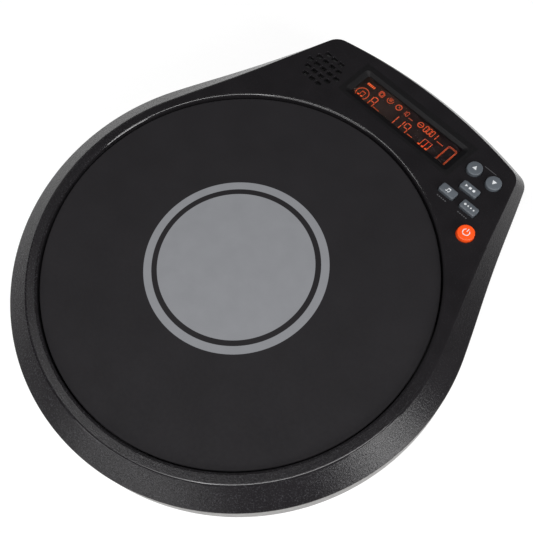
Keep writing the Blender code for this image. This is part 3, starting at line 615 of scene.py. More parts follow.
def metal(name, colour, roughness=0.3):
    """Plated or rolled metal with fine drawn marks."""
    made = Finish(name, roughness, metallic=1.0)
    made.set("Base Color", made.clouded(colour, 0.08, 0.006))
    stretch = made.node("ShaderNodeMapping", {"Vector": made.place, "Scale": (1.0, 6.0, 1.0)})
    marks = made.noise(0.0008, 3.0, 0.6, stretch.outputs["Vector"])
    made.set("Roughness", made.remap(marks, 0.3, 0.7, roughness - 0.08, roughness + 0.10))
    made.bump(marks, 0.00001)
    return made.made


def foam_finish():
    """Open-cell foam."""
    made = Finish("foam", 0.95, specular=0.2)
    cells = made.node("ShaderNodeTexVoronoi", {"Vector": made.place, "Scale": 900.0}).outputs["Distance"]
    made.set("Base Color", made.blend(cells, (0.02, 0.02, 0.022), (0.07, 0.07, 0.075)))
    made.bump(cells, 0.0003)
    return made.made


def board_finish():
    """Circuit board: green mask over copper tracks."""
    made = Finish("circuit_board", 0.35)
    tracks = made.node("ShaderNodeTexBrick", {"Vector": made.place, "Scale": 120.0, "Mortar Size": 0.02})
    tracks.inputs["Color1"].default_value = (0.012, 0.10, 0.035, 1.0)
    tracks.inputs["Color2"].default_value = (0.016, 0.13, 0.045, 1.0)
    tracks.inputs["Mortar"].default_value = (0.04, 0.24, 0.09, 1.0)
    made.set("Base Color", tracks.outputs["Color"])
    made.bump(tracks.outputs["Fac"], 0.00003)
    return made.made


def cell_finish():
    """A battery's printed metal sleeve: dark body and a copper-coloured band at its positive end."""
    made = Finish("cell_wrap", 0.28, metallic=0.75)
    bands = made.node("ShaderNodeTexWave", {"Vector": made.place, "Scale": 6.0, "Distortion": 0.2})
    bands.bands_direction = "Y"
    mask = made.remap(bands.outputs["Fac"], 0.55, 0.60, 0.0, 1.0, smooth=True)
    made.set("Base Color", made.blend(mask, (0.03, 0.03, 0.035), (0.62, 0.30, 0.09)))
    made.set("Roughness", made.uneven(0.003, 3.0, 0.22, 0.38))
    return made.made


def make_finishes():
    """Every finish, by name."""
    made = {
        "case_black": case_black(),
        "pad_rubber": pad_rubber(),
        "display_glass": display_glass(),
        "display_window": display_window(),
        "key_orange": key_orange(),
        "foam": foam_finish(),
        "board": board_finish(),
        "cell_wrap": cell_finish(),
        "segment": glowing("segment", (0.66, 0.100, 0.022), 0.66),
        "light_guide": glowing("light_guide", (0.80, 0.25, 0.05), 0.3),
        "steel": metal("steel", (0.55, 0.55, 0.57)),
        "brass": metal("brass", (0.72, 0.50, 0.22)),
        "contact": metal("contact", (0.62, 0.60, 0.55), 0.25),
    }
    plastics = (
        ("case_silver", (0.145, 0.137, 0.131), 0.38, 0.0006, 0.00003, 0.03),
        ("key_grey", (0.115, 0.130, 0.148), 0.38, 0.0005, 0.00001),
        ("foot_rubber", (0.016, 0.016, 0.017), 0.80, 0.0008, 0.00006),
        ("black_fine", (0.016, 0.016, 0.017), 0.50, 0.0005, 0.00002),
        ("magnet", (0.05, 0.05, 0.052), 0.60, 0.0006, 0.00005),
        ("paper", (0.02, 0.02, 0.021), 0.92, 0.0004, 0.00010),
        ("print_white", (0.80, 0.82, 0.84), 0.55, 0.0003, 0.00001),
        ("print_grey", (0.095, 0.095, 0.10), 0.60, 0.0003, 0.00001),
        ("lead", (0.02, 0.02, 0.02), 0.45, 0.0005, 0.00001),
    )
    made.update((row[0], moulded(*row)) for row in plastics)
    return made


FINISHES = make_finishes()


# ---------------------------------------------------------------- case
def flared(outline, grow=0.0, mouth=0.0004, steps=4):
    """A hole cutter whose mouth opens in a small rounded edge at the case's top.

    outline(extra) gives the hole's outline, grown outwards by extra.
    """
    rings = [at_height(outline(grow), CASE_TOP - 2 * WALL)]
    for fall, rise in rounding(steps):
        rings.append(at_height(outline(grow + mouth * rise), CASE_TOP - mouth * fall))
    rings.append(at_height(outline(grow + mouth), CASE_TOP + CLEAR))
    return loft(rings)


def key_outline(node):
    """A function that gives a key cap's outline, grown by an extra."""
    size = extent(node)
    if node in ROUND_KEYS:
        return lambda extra: circle(size.x / 2 - KEY_FLANGE + extra, 64)
    width = size.x - 2 * KEY_FLANGE
    depth = size.y - 2 * KEY_FLANGE
    return lambda extra: rounded_rectangle(width + 2 * extra, depth + 2 * extra, BAR_CORNER + extra)


def display_cutter():
    """The display recess: soft upper edge, sloping sides and the window opening."""
    spread = 0.0004

    def brim(grow, z):
        outline = rounded_rectangle(DISPLAY_RECESS[0] + grow, DISPLAY_RECESS[1] + grow, 0.0030 + grow / 2)
        return [(x, y - RECESS_STEP, z) for x, y in outline]

    opening = rounded_rectangle(*DISPLAY_OPENING, 0.0010)
    low = at_height(opening, CASE_TOP - 2 * WALL)
    step = at_height(opening, CASE_TOP - DISPLAY_DEPTH)
    mouth = brim(0.0, CASE_TOP)
    rings = [low]
    rings += soft_corner(between(step, low, 0.1), step, between(step, mouth, 0.18), 3)
    rings += soft_corner(between(mouth, step, 0.15), mouth, brim(spread, CASE_TOP), 5)
    rings.append(brim(spread, CASE_TOP + CLEAR))
    return loft(rings)


def grille_cutters():
    """The speaker grille's rows of small rounded slots."""
    def outline(extra):
        return rounded_rectangle(GRILLE_HOLE[0] + 2 * extra, GRILLE_HOLE[1] + 2 * extra, 0.0006 + extra, 4)

    cutters = []
    for row, count in enumerate(GRILLE_ROWS):
        y = SPEAKER.y + (row - (len(GRILLE_ROWS) - 1) / 2) * GRILLE_PITCH[1]
        for column in range(count):
            x = SPEAKER.x + (column - (count - 1) / 2) * GRILLE_PITCH[0]
            cutters.append(moved(flared(outline, mouth=0.00025, steps=3), (x, y, 0)))
    return cutters


def make_top_shell():
    """Black shell with its soft ridge, recess lip, display recess, key holes and grille."""
    roof = CASE_TOP - WALL
    ridge = at_height(teardrop(RIDGE), CASE_TOP)
    seam = at_height(teardrop(SEAM), SEAM_Z + SEAM_SOFT)
    slope = (Vector(ridge[0]) - Vector(seam[0])).length
    rings = soft_corner(at_height(teardrop(RIDGE, RIDGE_SOFT), CASE_TOP), ridge,
                        between(ridge, seam, RIDGE_SOFT / slope))
    rings += [between(ridge, seam, part) for part in (0.3, 0.55, 0.8)]
    rings += soft_corner(between(seam, ridge, 2 * SEAM_SOFT / slope), seam,
                         at_height(teardrop(SEAM, SEAM_SOFT), SEAM_Z), 4)
    rings += [at_height(teardrop(SEAM, WALL), SEAM_Z), at_height(teardrop(RIDGE, 0.0026), roof)]
    inside = (
        (RECESS_RADIUS + RECESS_WALL, roof),
        (RECESS_RADIUS + RECESS_WALL, LEDGE_Z - LEDGE_THICKNESS),
        (LEDGE_INNER, LEDGE_Z - LEDGE_THICKNESS),
        (LEDGE_INNER, LEDGE_Z),
        (RECESS_RADIUS, LEDGE_Z),
    )
    rings += [at_height(matched_circle(radius), z) for radius, z in inside]
    for fall, rise in rounding(10):
        lip = matched_circle(RECESS_RADIUS + RECESS_LIP * rise)
        rings.append(at_height(lip, CASE_TOP - RECESS_LIP * fall))
    skin = loft([[(x + PAD_X, y + PAD_Y, z) for x, y, z in ring] for ring in rings], closed=True)
    shell = add_object("case_top", skin)
    cutters = [over("display_window", display_cutter())] + grille_cutters()
    cutters += [over(node, flared(key_outline(node), KEY_HOLE_GAP)) for node in ROUND_KEYS + BAR_KEYS]
    combine(shell, gathered(cutters), "DIFFERENCE")
    finish_piece(shell, "case_black", "root", ["top_shell"])


def screw_wells():
    """A counterbore and a clear hole for each case screw."""
    below = BASE_Z - WALL
    above = BOSS_MEET_Z + WALL
    mouth = COUNTERBORE + BASE_SOFT
    cutters = []
    for node in SCREWS:
        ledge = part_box(node)[0][2] + SCREW_LEDGE
        profile = [(0.0, below), (mouth, below), (mouth, BASE_Z), (COUNTERBORE, BASE_Z + BASE_SOFT)]
        profile += [(COUNTERBORE, ledge), (SCREW_HOLE, ledge), (SCREW_HOLE, above), (0.0, above)]
        cutters.append(over(node, turned(profile, 40)))
    return cutters


def bay_cutter():
    """The battery bay with the recess that its door closes."""
    door_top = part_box("battery_door")[0][2] + DOOR_THICKNESS + GAP
    levels = (
        (BAY_RECESS, BASE_SOFT, BASE_Z - WALL), (BAY_RECESS, BASE_SOFT, BASE_Z),
        (BAY_RECESS, 0.0, BASE_Z + BASE_SOFT), (BAY_RECESS, 0.0, door_top),
        (BAY_INNER, 0.0, door_top), (BAY_INNER, 0.0, BAY_ROOF[0]),
    )
    rings = [at_height(rounded_rectangle(2 * (w + grow), 2 * (l + grow), 0.0008 + grow, 4), z)
             for (w, l), grow, z in levels]
    return moved(loft(rings), (BAY.x, BAY_MIDDLE_Y, 0))


def socket_bores():
    """Round holes in the rear wall for the two sockets."""
    cutters = []
    for node, radius in (("headphone_jack", 0.0049), ("power_jack", 0.0045)):
        bore = laid_back(prism(circle(radius), 0.0, 0.012))
        cutters.append(moved(bore, (middle(node).x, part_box(node)[1][1] - 0.0075, JACK_Z)))
    return cutters


def make_bottom_shell():
    """Silver shell: band, rolled-under base, screw wells, battery bay and socket holes."""
    floor = BASE_Z + WALL
    roll = [(BASE_ROLL[0] * fall, BASE_Z + BASE_ROLL[1] * rise) for fall, rise in rounding(12)]
    rings = [at_height(teardrop(BAND, inset), z) for inset, z in roll]
    edge = at_height(teardrop(BAND, FLARE), BAND_TOP)
    rings += [between(rings[-1], edge, part) for part in (0.3, 0.6, 0.9)]
    rings += soft_corner(between(edge, rings[-1], 0.2), edge,
                         at_height(teardrop(BAND, FLARE + 0.0004), BAND_TOP), 4)
    inside = ((FLARE + WALL - 0.0003, BAND_TOP), (0.0026, 0.0090), (0.0040, 0.0068), (0.0068, floor))
    rings += [at_height(teardrop(BAND, inset), z) for inset, z in inside]
    skin = loft([[(x + PAD_X, y + PAD_Y, z) for x, y, z in ring] for ring in rings])
    shell = add_object("case_bottom", skin)

    sunk = floor - WALL / 2
    posts = [over(node, prism(circle(POST_RADIUS), sunk, BOSS_MEET_Z - GAP)) for node in SCREWS]
    bay = box_solid((BAY.x - BAY_OUTER[0], BAY_MIDDLE_Y - BAY_OUTER[1], sunk),
                    (BAY.x + BAY_OUTER[0], BAY_MIDDLE_Y + BAY_OUTER[1], BAY_ROOF[1]))
    combine(shell, gathered(posts + [bay]), "UNION")
    combine(shell, gathered(screw_wells() + [bay_cutter()] + socket_bores()), "DIFFERENCE")
    finish_piece(shell, "case_silver", "root", ["bottom_shell"])


def make_feet():
    """Moulded rubber feet with rounded edges and a shallow dished tread."""
    for node in FEET:
        radius = extent(node).x / 2
        tall = extent(node).z
        profile = [(0.0, 0.0003), (radius * 0.45, 0.0003), (radius * 0.52, 0.0)]
        profile += [(radius - FOOT_SOFT * fall, FOOT_SOFT * rise) for fall, rise in rounding(5)]
        profile += [(radius, tall - 0.0004), (radius - 0.0004, tall), (0.0, tall)]
        foot = add_object(node + "_moulded", over(node, turned(profile, 56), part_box(node)[0][2]))
        finish_piece(foot, "foot_rubber", "root", [node])


def make_screws():
    """Pan-head screws with a cross recess, deep in their wells."""
    shank, root = SCREW_SHANK
    for node in SCREWS:
        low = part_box(node)[0][2]
        radius = extent(node).x / 2
        tall = extent(node).z
        profile = [(0.0, 0.0)]
        for step in range(1, 7):
            turn = math.pi / 2 * step / 6
            profile.append((radius * math.sin(turn), SCREW_HEAD * 0.6 * (1 - math.cos(turn))))
        profile += [(radius, SCREW_HEAD), (shank, SCREW_HEAD)]
        rise = SCREW_HEAD
        while rise < tall - 0.0016:
            profile += [(shank, rise + 0.0002), (root, rise + 0.0004), (shank, rise + SCREW_PITCH)]
            rise += SCREW_PITCH
        profile += [(0.0004, tall), (0.0, tall)]
        body = add_object(node + "_turned", over(node, turned(profile, 36), low))
        reach = radius * 0.62
        half = 0.00035
        for width, depth, part in ((reach, half, 0.55), (half, reach, 0.56)):
            slot = box_solid((-width, -depth, -CLEAR), (width, depth, SCREW_HEAD * part))
            combine(body, over(node, slot, low), "DIFFERENCE")
        finish_piece(body, "steel", "root", [node])


# ---------------------------------------------------------------- playing pad
def make_pad():
    """The rubber disc with its rounded rim."""
    edge = PLAYING_RADIUS
    rim = 0.0011
    profile = [(0.0, RUBBER_LOW), (edge - 0.0006, RUBBER_LOW), (edge, RUBBER_LOW + 0.0006)]
    profile += [(edge - rim * rise, RUBBER_TOP - rim * fall) for fall, rise in rounding(8)]
    for part in (0.985, 0.96, 0.9, 0.8, 0.65, 0.5, 0.35, 0.2, 0.1, 0.0):
        profile.append((edge * part, RUBBER_TOP))
    disc = add_object("rubber_surface", over("rubber_pad", turned(profile, 256)))
    finish_piece(disc, "pad_rubber", "root", ["rubber_pad"])


def make_foam_ring():
    """The foam ring that carries the pad: its free edges swell a little between its flat faces."""
    low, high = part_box("foam_ring")
    bulge = 0.0006
    steps = 10
    profile = []
    for edge, swell in (((high[0] - low[0]) / 2, bulge), (FOAM_INNER, -bulge)):
        side = []
        for step in range(steps + 1):
            turn = math.pi * step / steps
            z = low[2] + (high[2] - low[2]) * (1 - math.cos(turn)) / 2
            side.append((edge - swell * (1 - math.sin(turn)), z))
        profile += side if swell > 0 else side[::-1]
    ring = add_object("foam_ring_cushion", over("foam_ring", turned(profile, 128, ring=True)), 60.0)
    finish_piece(ring, "foam", "root", ["foam_ring"])


# ---------------------------------------------------------------- keys and their symbols
def key_dome(node, x, y):
    """How far a key's crowned top lies under its highest point, at a place from its middle."""
    size = extent(node)
    return KEY_DOME * ((2 * x / size.x) ** 2 + (2 * y / size.y) ** 2)


def make_key(node, finish):
    """A key cap with a crowned top and rounded edges, on its flange and stem."""
    low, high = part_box(node)
    outline = key_outline(node)
    top = high[2] - PRINT_PROUD

    def crowned(ring, drop=0.0):
        return [(x, y, top - key_dome(node, x, y) - drop) for x, y in ring]

    flat = outline(-KEY_SOFT)
    rings = [crowned([(x * part, y * part) for x, y in flat]) for part in (0.04, 0.3, 0.55, 0.78)]
    rings += [crowned(outline(-KEY_SOFT * fall), KEY_SOFT * rise) for fall, rise in rounding(5)]
    flange_top = FLANGE_Z + FLANGE_THICKNESS
    rings += [at_height(outline(0.0), flange_top), at_height(outline(KEY_FLANGE), flange_top)]
    rings.append(at_height(outline(KEY_FLANGE), FLANGE_Z))
    first = math.atan2(rings[0][0][1], rings[0][0][0])
    stem = arc(0.0, 0.0, KEY_STEM, first, first + math.tau, len(rings[0]))
    rings += [at_height(stem, FLANGE_Z), at_height(stem, low[2])]
    cap = add_object(node + "_cap", over(node, loft(rings)), 45.0)
    finish_piece(cap, finish, node, [node])


def filled(outline):
    """A flat face from an outline."""
    mesh = bmesh.new()
    mesh.faces.new([mesh.verts.new((x, y, 0.0)) for x, y in outline])
    return mesh


def band(outer, inner):
    """A flat band between two outlines of equal point count."""
    mesh = bmesh.new()
    outside = [mesh.verts.new((x, y, 0.0)) for x, y in outer]
    inside = [mesh.verts.new((x, y, 0.0)) for x, y in inner]
    for i in range(len(outside)):
        j = (i + 1) % len(outside)
        mesh.faces.new((outside[i], outside[j], inside[j], inside[i]))
    return mesh


def stroke(points, width):
    """A flat line of even width along points, square at its ends."""
    mesh = bmesh.new()
    left, right = [], []
    for i, point in enumerate(points):
        before = Vector(points[max(i - 1, 0)])
        after = Vector(points[min(i + 1, len(points) - 1)])
        along = (after - before).normalized()
        across = Vector((-along.y, along.x)) * (width / 2)
        left.append(mesh.verts.new((*(Vector(point) + across), 0.0)))
        right.append(mesh.verts.new((*(Vector(point) - across), 0.0)))
    for i in range(len(points) - 1):
        mesh.faces.new((left[i], right[i], right[i + 1], left[i + 1]))
    return mesh


def at_place(mesh, x, y):
    """A flat mark shifted in its plane."""
    return moved(mesh, (x, y, 0.0))


def arc_points(radius, start, end, steps=24, cx=0.0, cy=0.0):
    """Points along an arc, both ends included."""
    last = (cx + radius * math.cos(end), cy + radius * math.sin(end))
    return arc(cx, cy, radius, start, end, steps) + [last]


def note_pair(scale, stroke_width):
    """Two quavers joined by a beam."""
    marks = []
    for side in (-1, 1):
        head = [(x * 1.25, y * 0.85) for x, y in circle(0.30 * scale, 20)]
        marks.append(at_place(filled(head), side * 0.62 * scale - 0.22 * scale, -0.85 * scale))
        stem_x = side * 0.62 * scale + 0.10 * scale
        marks.append(stroke([(stem_x, -0.80 * scale), (stem_x, 0.85 * scale)], stroke_width))
    half = stroke_width / 2
    beam = [(-0.52 * scale - half, 0.80 * scale), (0.72 * scale + half, 0.80 * scale)]
    marks.append(stroke(beam, stroke_width * 1.8))
    return marks


def key_symbols():
    """Each key's symbol, as flat marks about the key's middle."""
    up = [(-0.0016, -0.0011), (0.0016, -0.0011), (0.0, 0.0017)]
    down = [(x, -y) for x, y in (up[0], up[2], up[1])]
    play = [(-0.0037, -0.0010), (-0.0019, 0.0), (-0.0037, 0.0010)]
    stop = rounded_rectangle(0.0017, 0.0017, 0.0002, 2)
    power = [stroke(arc_points(0.0022, math.radians(125), math.radians(415)), 0.00055)]
    power.append(stroke([(0.0, 0.0004), (0.0, 0.0029)], 0.00055))
    beats = [at_place(filled(circle(0.00085, 20)), -0.0033, 0.0)]
    beats += [at_place(filled(circle(0.00055, 16)), x, 0.0) for x in (-0.0010, 0.0012, 0.0034)]
    return {
        "up_button": [filled(up)],
        "down_button": [filled(down)],
        "mode_button": [filled(play), filled(stop), at_place(filled(circle(0.00095, 20)), 0.0029, 0.0)],
        "tone_button": note_pair(0.0014, 0.00035),
        "beat_button": beats,
        "power_button": power,
    }


def printed_piece(name, marks, finish, body, height, fine=False):
    """Flat marks given a thin body and laid on a surface; height(x, y) is that surface.

    Fine marks are divided so that they follow a curved surface.
    """
    mesh = gathered(marks)
    bmesh.ops.recalc_face_normals(mesh, faces=mesh.faces)
    if fine:
        bmesh.ops.triangulate(mesh, faces=mesh.faces)
        bmesh.ops.subdivide_edges(mesh, edges=mesh.edges, cuts=3, use_grid_fill=True)
    for face in mesh.faces:
        if face.normal.z < 0:
            face.normal_flip()
    lifted = bmesh.ops.extrude_face_region(mesh, geom=list(mesh.faces))
    top = [item for item in lifted["geom"] if isinstance(item, bmesh.types.BMVert)]
    bmesh.ops.translate(mesh, vec=(0, 0, PRINT_THICKNESS), verts=top)
    for vert in mesh.verts:
        vert.co.z += height(vert.co.x, vert.co.y)
    bmesh.ops.recalc_face_normals(mesh, faces=mesh.faces)
    finish_piece(add_object(name, mesh), finish, body)


def make_keys():
    """Six keys, each with its printed symbol riding on it."""
    for node in ROUND_KEYS + BAR_KEYS:
        make_key(node, "key_orange" if node == "power_button" else "key_grey")
    for node, marks in key_symbols().items():
        place = middle(node)
        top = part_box(node)[1][2]

        def height(x, y, node=node, place=place, top=top):
            return top - key_dome(node, x - place.x, y - place.y) - PRINT_THICKNESS
        placed = [at_place(mark, place.x, place.y) for mark in marks]
        printed_piece(node + "_symbol", placed, "print_white", node, height, fine=True)


# ---------------------------------------------------------------- display
SEGMENTS = {
    "a": ((0.12, 1.0), (0.88, 1.0)), "b": ((1.0, 0.95), (1.0, 0.55)), "c": ((1.0, 0.45), (1.0, 0.05)),
    "d": ((0.12, 0.0), (0.88, 0.0)), "e": ((0.0, 0.45), (0.0, 0.05)), "f": ((0.0, 0.95), (0.0, 0.55)),
    "g": ((0.12, 0.5), (0.88, 0.5)),
}
DIGITS = {"0": "abcdef", "1": "bc", "8": "abcdefg", "9": "abcdfg"}


def digit(value, x, y, width, height, thick):
    """One seven-segment digit with its lower left corner at a place."""
    marks = []
    for name in DIGITS[value]:
        ends = [(x + u * width, y + v * height) for u, v in SEGMENTS[name]]
        marks.append(stroke(ends, thick))
    return marks


def small_marks(x, y, count):
    """A row of tiny dashes, where a display prints its units."""
    pitch = 0.0009
    dash = rounded_rectangle(0.0006, 0.0005, 0.0001, 1)
    return [at_place(filled(dash), x + i * pitch, y) for i in range(count)]


def display_marks():
    """Everything that the display shows, about the display's middle."""
    line = 0.00030
    marks = []

    def put(x, y, *shapes):
        marks.extend(at_place(shape, x, y) for shape in shapes)

    upper = 0.0052
    bar = rounded_rectangle(0.0010, 0.0019, 0.0002, 2)
    for i in range(5):
        put(-0.0394 + i * 0.0014, upper, filled(bar))
    for x, y in ((-0.0269, upper + 0.0002), (-0.0260, upper - 0.0005)):
        outer = rounded_rectangle(0.0034, 0.0037, 0.0007, 3)
        put(x, y, band(outer, rounded_rectangle(0.0028, 0.0031, 0.0004, 3)))
    hand = arc_points(0.0024, math.radians(160), math.radians(380), 20)
    put(-0.0186, upper + 0.0003, stroke(hand, line))
    for lean in (-0.0012, 0.0, 0.0012):
        put(-0.0186, upper, stroke([(lean * 0.6, -0.0006), (lean, 0.0023)], line))
    put(-0.0106, upper, band(circle(0.00235, 32), circle(0.0019, 32)),
        stroke([(0.0, 0.0013), (0.0, 0.0), (0.0010, 0.0)], line))
    for i, value in enumerate("10"):
        marks += digit(value, -0.0062 + i * 0.0026, upper - 0.0018, 0.0017, 0.0036, line)
    marks += small_marks(0.0002, upper - 0.0016, 4)
    put(0.0095, upper, band(circle(0.0022, 32), circle(0.0018, 32)),
        stroke([(-0.0024, 0.0), (0.0024, 0.0)], line))
    for i, value in enumerate("0001"):
        marks += digit(value, 0.0133 + i * 0.0028, upper - 0.0024, 0.0020, 0.0048, line * 1.5)
    marks += small_marks(0.0262, upper - 0.0022, 6)

    base = -0.0080
    tall = 0.0082
    put(-0.0367, base + 0.0040, band(circle(0.0050, 48), circle(0.0046, 48)), *note_pair(0.0023, line))
    marks += digit("8", -0.0285, base, 0.0038, tall, line * 1.8)
    marks += small_marks(-0.0230, base + 0.0013, 6)
    for value, left, width in (("1", -0.0097, 0.0044), ("1", -0.0040, 0.0044), ("9", 0.0022, 0.0038)):
        marks += digit(value, left, base, width, tall, line * 1.8)
    marks += small_marks(0.0082, base + 0.0015, 5)
    beam = [(0.0, 0.0010), (0.0, 0.0070), (0.0032, 0.0070), (0.0032, 0.0016)]
    for left in (0.0191, 0.0223):
        put(left, base, stroke(beam, line * 1.5))
    head = rounded_rectangle(0.0018, 0.0013, 0.0005, 3)
    for left in (0.0184, 0.0216, 0.0247):
        put(left, base + 0.0012, filled(head))
    for half, top in ((0.0036, 0.0062), (0.0030, 0.0055)):
        arch = [(-half, -0.0081)] + arc_points(0.0015, math.pi, math.pi / 2, 8, 0.0015 - half, top - 0.0015)
        arch += arc_points(0.0015, math.pi / 2, 0.0, 8, half - 0.0015, top - 0.0015)
        arch.append((half, -0.0081))
        put(0.0376, 0.0, stroke(arch, line * 0.7))
    return marks


def make_display():
    """The lit marks lie just above the display panel, under the clear window."""
    lit_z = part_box("display_panel")[1][2] + 0.00002
    marks = [at_place(mark, DISPLAY.x, DISPLAY.y) for mark in display_marks()]
    printed_piece("display_segments", marks, "segment", "root", lambda x, y: lit_z)
    for node, finish in (("display_window", "display_window"), ("display_panel", "display_glass")):
        low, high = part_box(node)
        block = slab(extent(node).xy, low[2], high[2], 0.0002, (0.0008, 0.0006))
        piece = add_object(node + "_slab", over(node, block))
        finish_piece(piece, finish, "root", [node])


def make_panel_print():
    """Fine grey print on the panel: a line that joins the two round keys, and small marks."""
    ends = [(middle("up_button").xy, 0.0030), (middle("down_button").xy, -0.0030)]
    marks = [stroke([(place.x + inward, place.y + 0.0066) for place, inward in ends], 0.0004)]
    dash = rounded_rectangle(0.0010, 0.0007, 0.0002, 2)
    for key in (middle("tone_button"), middle("beat_button")):
        marks += [at_place(filled(dash), key.x + i * 0.0016, key.y - 0.0062) for i in range(-2, 3)]
    printed_piece("panel_print", marks, "print_grey", "root", lambda x, y: CASE_TOP - 0.00001)


# ---------------------------------------------------------------- sockets, speaker and batteries
def make_sockets():
    """Rear sockets: a flanged bush with a rounded mouth on a moulded body."""
    mouth = 0.0004
    sizes = (("headphone_jack", 0.0045, 0.0033, 0.0150), ("power_jack", 0.0041, 0.0030, 0.0095))
    for node, nose, bore, depth in sizes:
        low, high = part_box(node)
        x = middle(node).x
        size = extent(node)
        block = laid_back(slab((size.x, size.z), 0.0, SOCKET_BODY, 0.0004, (0.0010, 0.0010), 4))
        piece = add_object(node + "_body", moved(block, (x, low[1], JACK_Z)))
        neck_start = low[1] + SOCKET_BODY - 0.0020
        front = high[1] - neck_start
        neck = [(0.0, 0.0), (nose, 0.0), (nose, front - 0.0005), (nose - 0.0005, front), (0.0, front)]
        combine(piece, moved(laid_back(turned(neck, 56)), (x, neck_start, JACK_Z)), "UNION")
        hollow = [(bore, 0.0), (bore, depth - mouth), (bore + mouth, depth), (bore + mouth, depth + 0.002)]
        hollow.append((0.0, depth + 0.002))
        has_pin = node == "power_jack"
        if has_pin:
            pin = 0.0010
            tip = depth - 0.0010
            hollow = [(pin, 0.0)] + hollow + [(0.0, tip), (pin * 0.6, tip), (pin, tip - 0.0004)]
        else:
            hollow = [(0.0, 0.0)] + hollow
        cavity = laid_back(turned(hollow, 56, ring=has_pin))
        combine(piece, moved(cavity, (x, high[1] - depth, JACK_Z)), "DIFFERENCE")
        finish_piece(piece, "black_fine", "root", [node])
        inner = bore + mouth + 0.0001
        outer = nose - 0.0006
        ring = [(inner, -0.0004), (outer, -0.0004), (outer, 0.00002), (inner + 0.0001, 0.00002)]
        washer = moved(laid_back(turned(ring, 56, ring=True)), (x, high[1], JACK_Z))
        finish_piece(add_object(node + "_collar", washer), "steel", "root")


def make_door():
    """Battery door with rounded corners, a ribbed grip and its latch."""
    node = "battery_door"
    low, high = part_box(node)
    place = middle(node)
    panel = slab(extent(node).xy, low[2], low[2] + DOOR_THICKNESS, 0.0003, (0.0009, 0.0006), 4)
    door = add_object("battery_door_panel", over(node, panel))
    latch = box_solid((place.x - 0.006, high[1] - 0.0028, low[2] + DOOR_THICKNESS / 2),
                      (place.x + 0.006, high[1] - 0.0016, high[2]))
    combine(door, latch, "UNION")
    grooves = []
    for step in range(5):
        outline = rounded_rectangle(0.0190 - 0.0016 * abs(step - 2), 0.0009, 0.0004, 6)
        groove = prism(outline, low[2] - CLEAR, low[2] + 0.0006)
        grooves.append(moved(groove, (place.x, high[1] - 0.0070 - 0.0020 * step, 0)))
    combine(door, gathered(grooves), "DIFFERENCE")
    finish_piece(door, "case_silver", "battery_door", [node])


def make_cells():
    """Four cells with rolled ends and a raised nub."""
    soft = 0.0008
    for node in CELLS:
        low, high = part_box(node)
        place = middle(node)
        radius = (high[0] - low[0]) / 2
        length = high[1] - low[1]
        body = length - 0.0012
        profile = [(0.0, 0.0), (radius * 0.70, 0.0), (radius * 0.74, 0.0003), (radius - soft, 0.0)]
        profile += [(radius - soft * fall, soft * rise) for fall, rise in rounding(4, 1)]
        profile += [(radius, body - soft), (radius - soft * 0.3, body - soft * 0.3), (radius - soft, body)]
        profile += [(0.0030, body - 0.0003), (0.0027, body), (0.0027, length - 0.0002)]
        profile += [(0.0025, length), (0.0, length)]
        cell = laid_back(turned(profile, 56))
        start = low[1]
        if nearer_front(node):
            turn = Matrix.Rotation(math.pi, 3, "Z")
            bmesh.ops.rotate(cell, cent=(0, 0, 0), matrix=turn, verts=cell.verts)
            start = high[1]
        piece = add_object(node + "_sleeve", moved(cell, (place.x, start, place.z)))
        finish_piece(piece, "cell_wrap", "root", [node])


def nearer_front(node):
    """Whether a piece lies towards the bay's front; a cell there points its nub to -Y."""
    return middle(node).y < BAY_MIDDLE_Y


def make_springs():
    """Coil springs behind the cells, wound a little tighter towards the cell."""
    count = 97
    for node in SPRINGS:
        low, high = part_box(node)
        x = middle(node).x
        forward = nearer_front(node)
        start = low[1] + SPRING_WIRE if forward else high[1] - SPRING_WIRE
        length = (high[1] - low[1] - 2 * SPRING_WIRE) * (1 if forward else -1)
        curve = bpy.data.curves.new(node + "_coil", "CURVE")
        curve.dimensions = "3D"
        curve.bevel_depth = SPRING_WIRE
        curve.bevel_resolution = 3
        curve.use_fill_caps = True
        spline = curve.splines.new("POLY")
        spline.points.add(count - 1)
        for i in range(count):
            part = i / (count - 1)
            turn = math.tau * SPRING_TURNS * part
            radius = SPRING_RADII[0] + (SPRING_RADII[1] - SPRING_RADII[0]) * part
            across, up = radius * math.cos(turn), radius * math.sin(turn)
            spline.points[i].co = (x + across, start + length * part, CELL_Z + up, 1.0)
        coil = bpy.data.objects.new(node + "_coil", curve)
        bpy.context.scene.collection.objects.link(coil)
        finish_piece(coil, "contact", "root", [node])


def make_speaker():
    """The loudspeaker's cone and frame, seen dimly through the grille."""
    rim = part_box("speaker_frame")[1][2]
    outer = extent("speaker_frame").x / 2
    cone = [(0.0, 0.0318), (0.0020, 0.0317), (0.0035, 0.0312), (0.0050, 0.0300), (0.0090, 0.0320)]
    cone += [(0.0122, 0.0339), (0.0130, 0.0344), (0.0136, 0.0341), (0.0142, 0.0346), (0.0142, 0.0343)]
    cone += [(0.0132, 0.0333), (0.0075, 0.0293), (0.0050, 0.0282), (0.0, 0.0282)]
    basket = [(outer, rim), (0.0150, rim), (0.0145, rim - 0.0010), (0.0080, 0.0285), (0.0080, 0.0275)]
    basket += [(0.0098, 0.0275), (outer - 0.0013, rim - 0.0018), (outer, rim - 0.0010)]
    parts = (
        ("speaker_cone", cone, False, "paper", "speaker_paper"),
        ("speaker_frame", basket, True, "black_fine", "plate_steel"),
    )
    for node, profile, ring, finish, slot in parts:
        piece = add_object(node + "_fine", over("speaker_frame", turned(profile, 72, ring)))
        finish_piece(piece, finish, "root", [node])


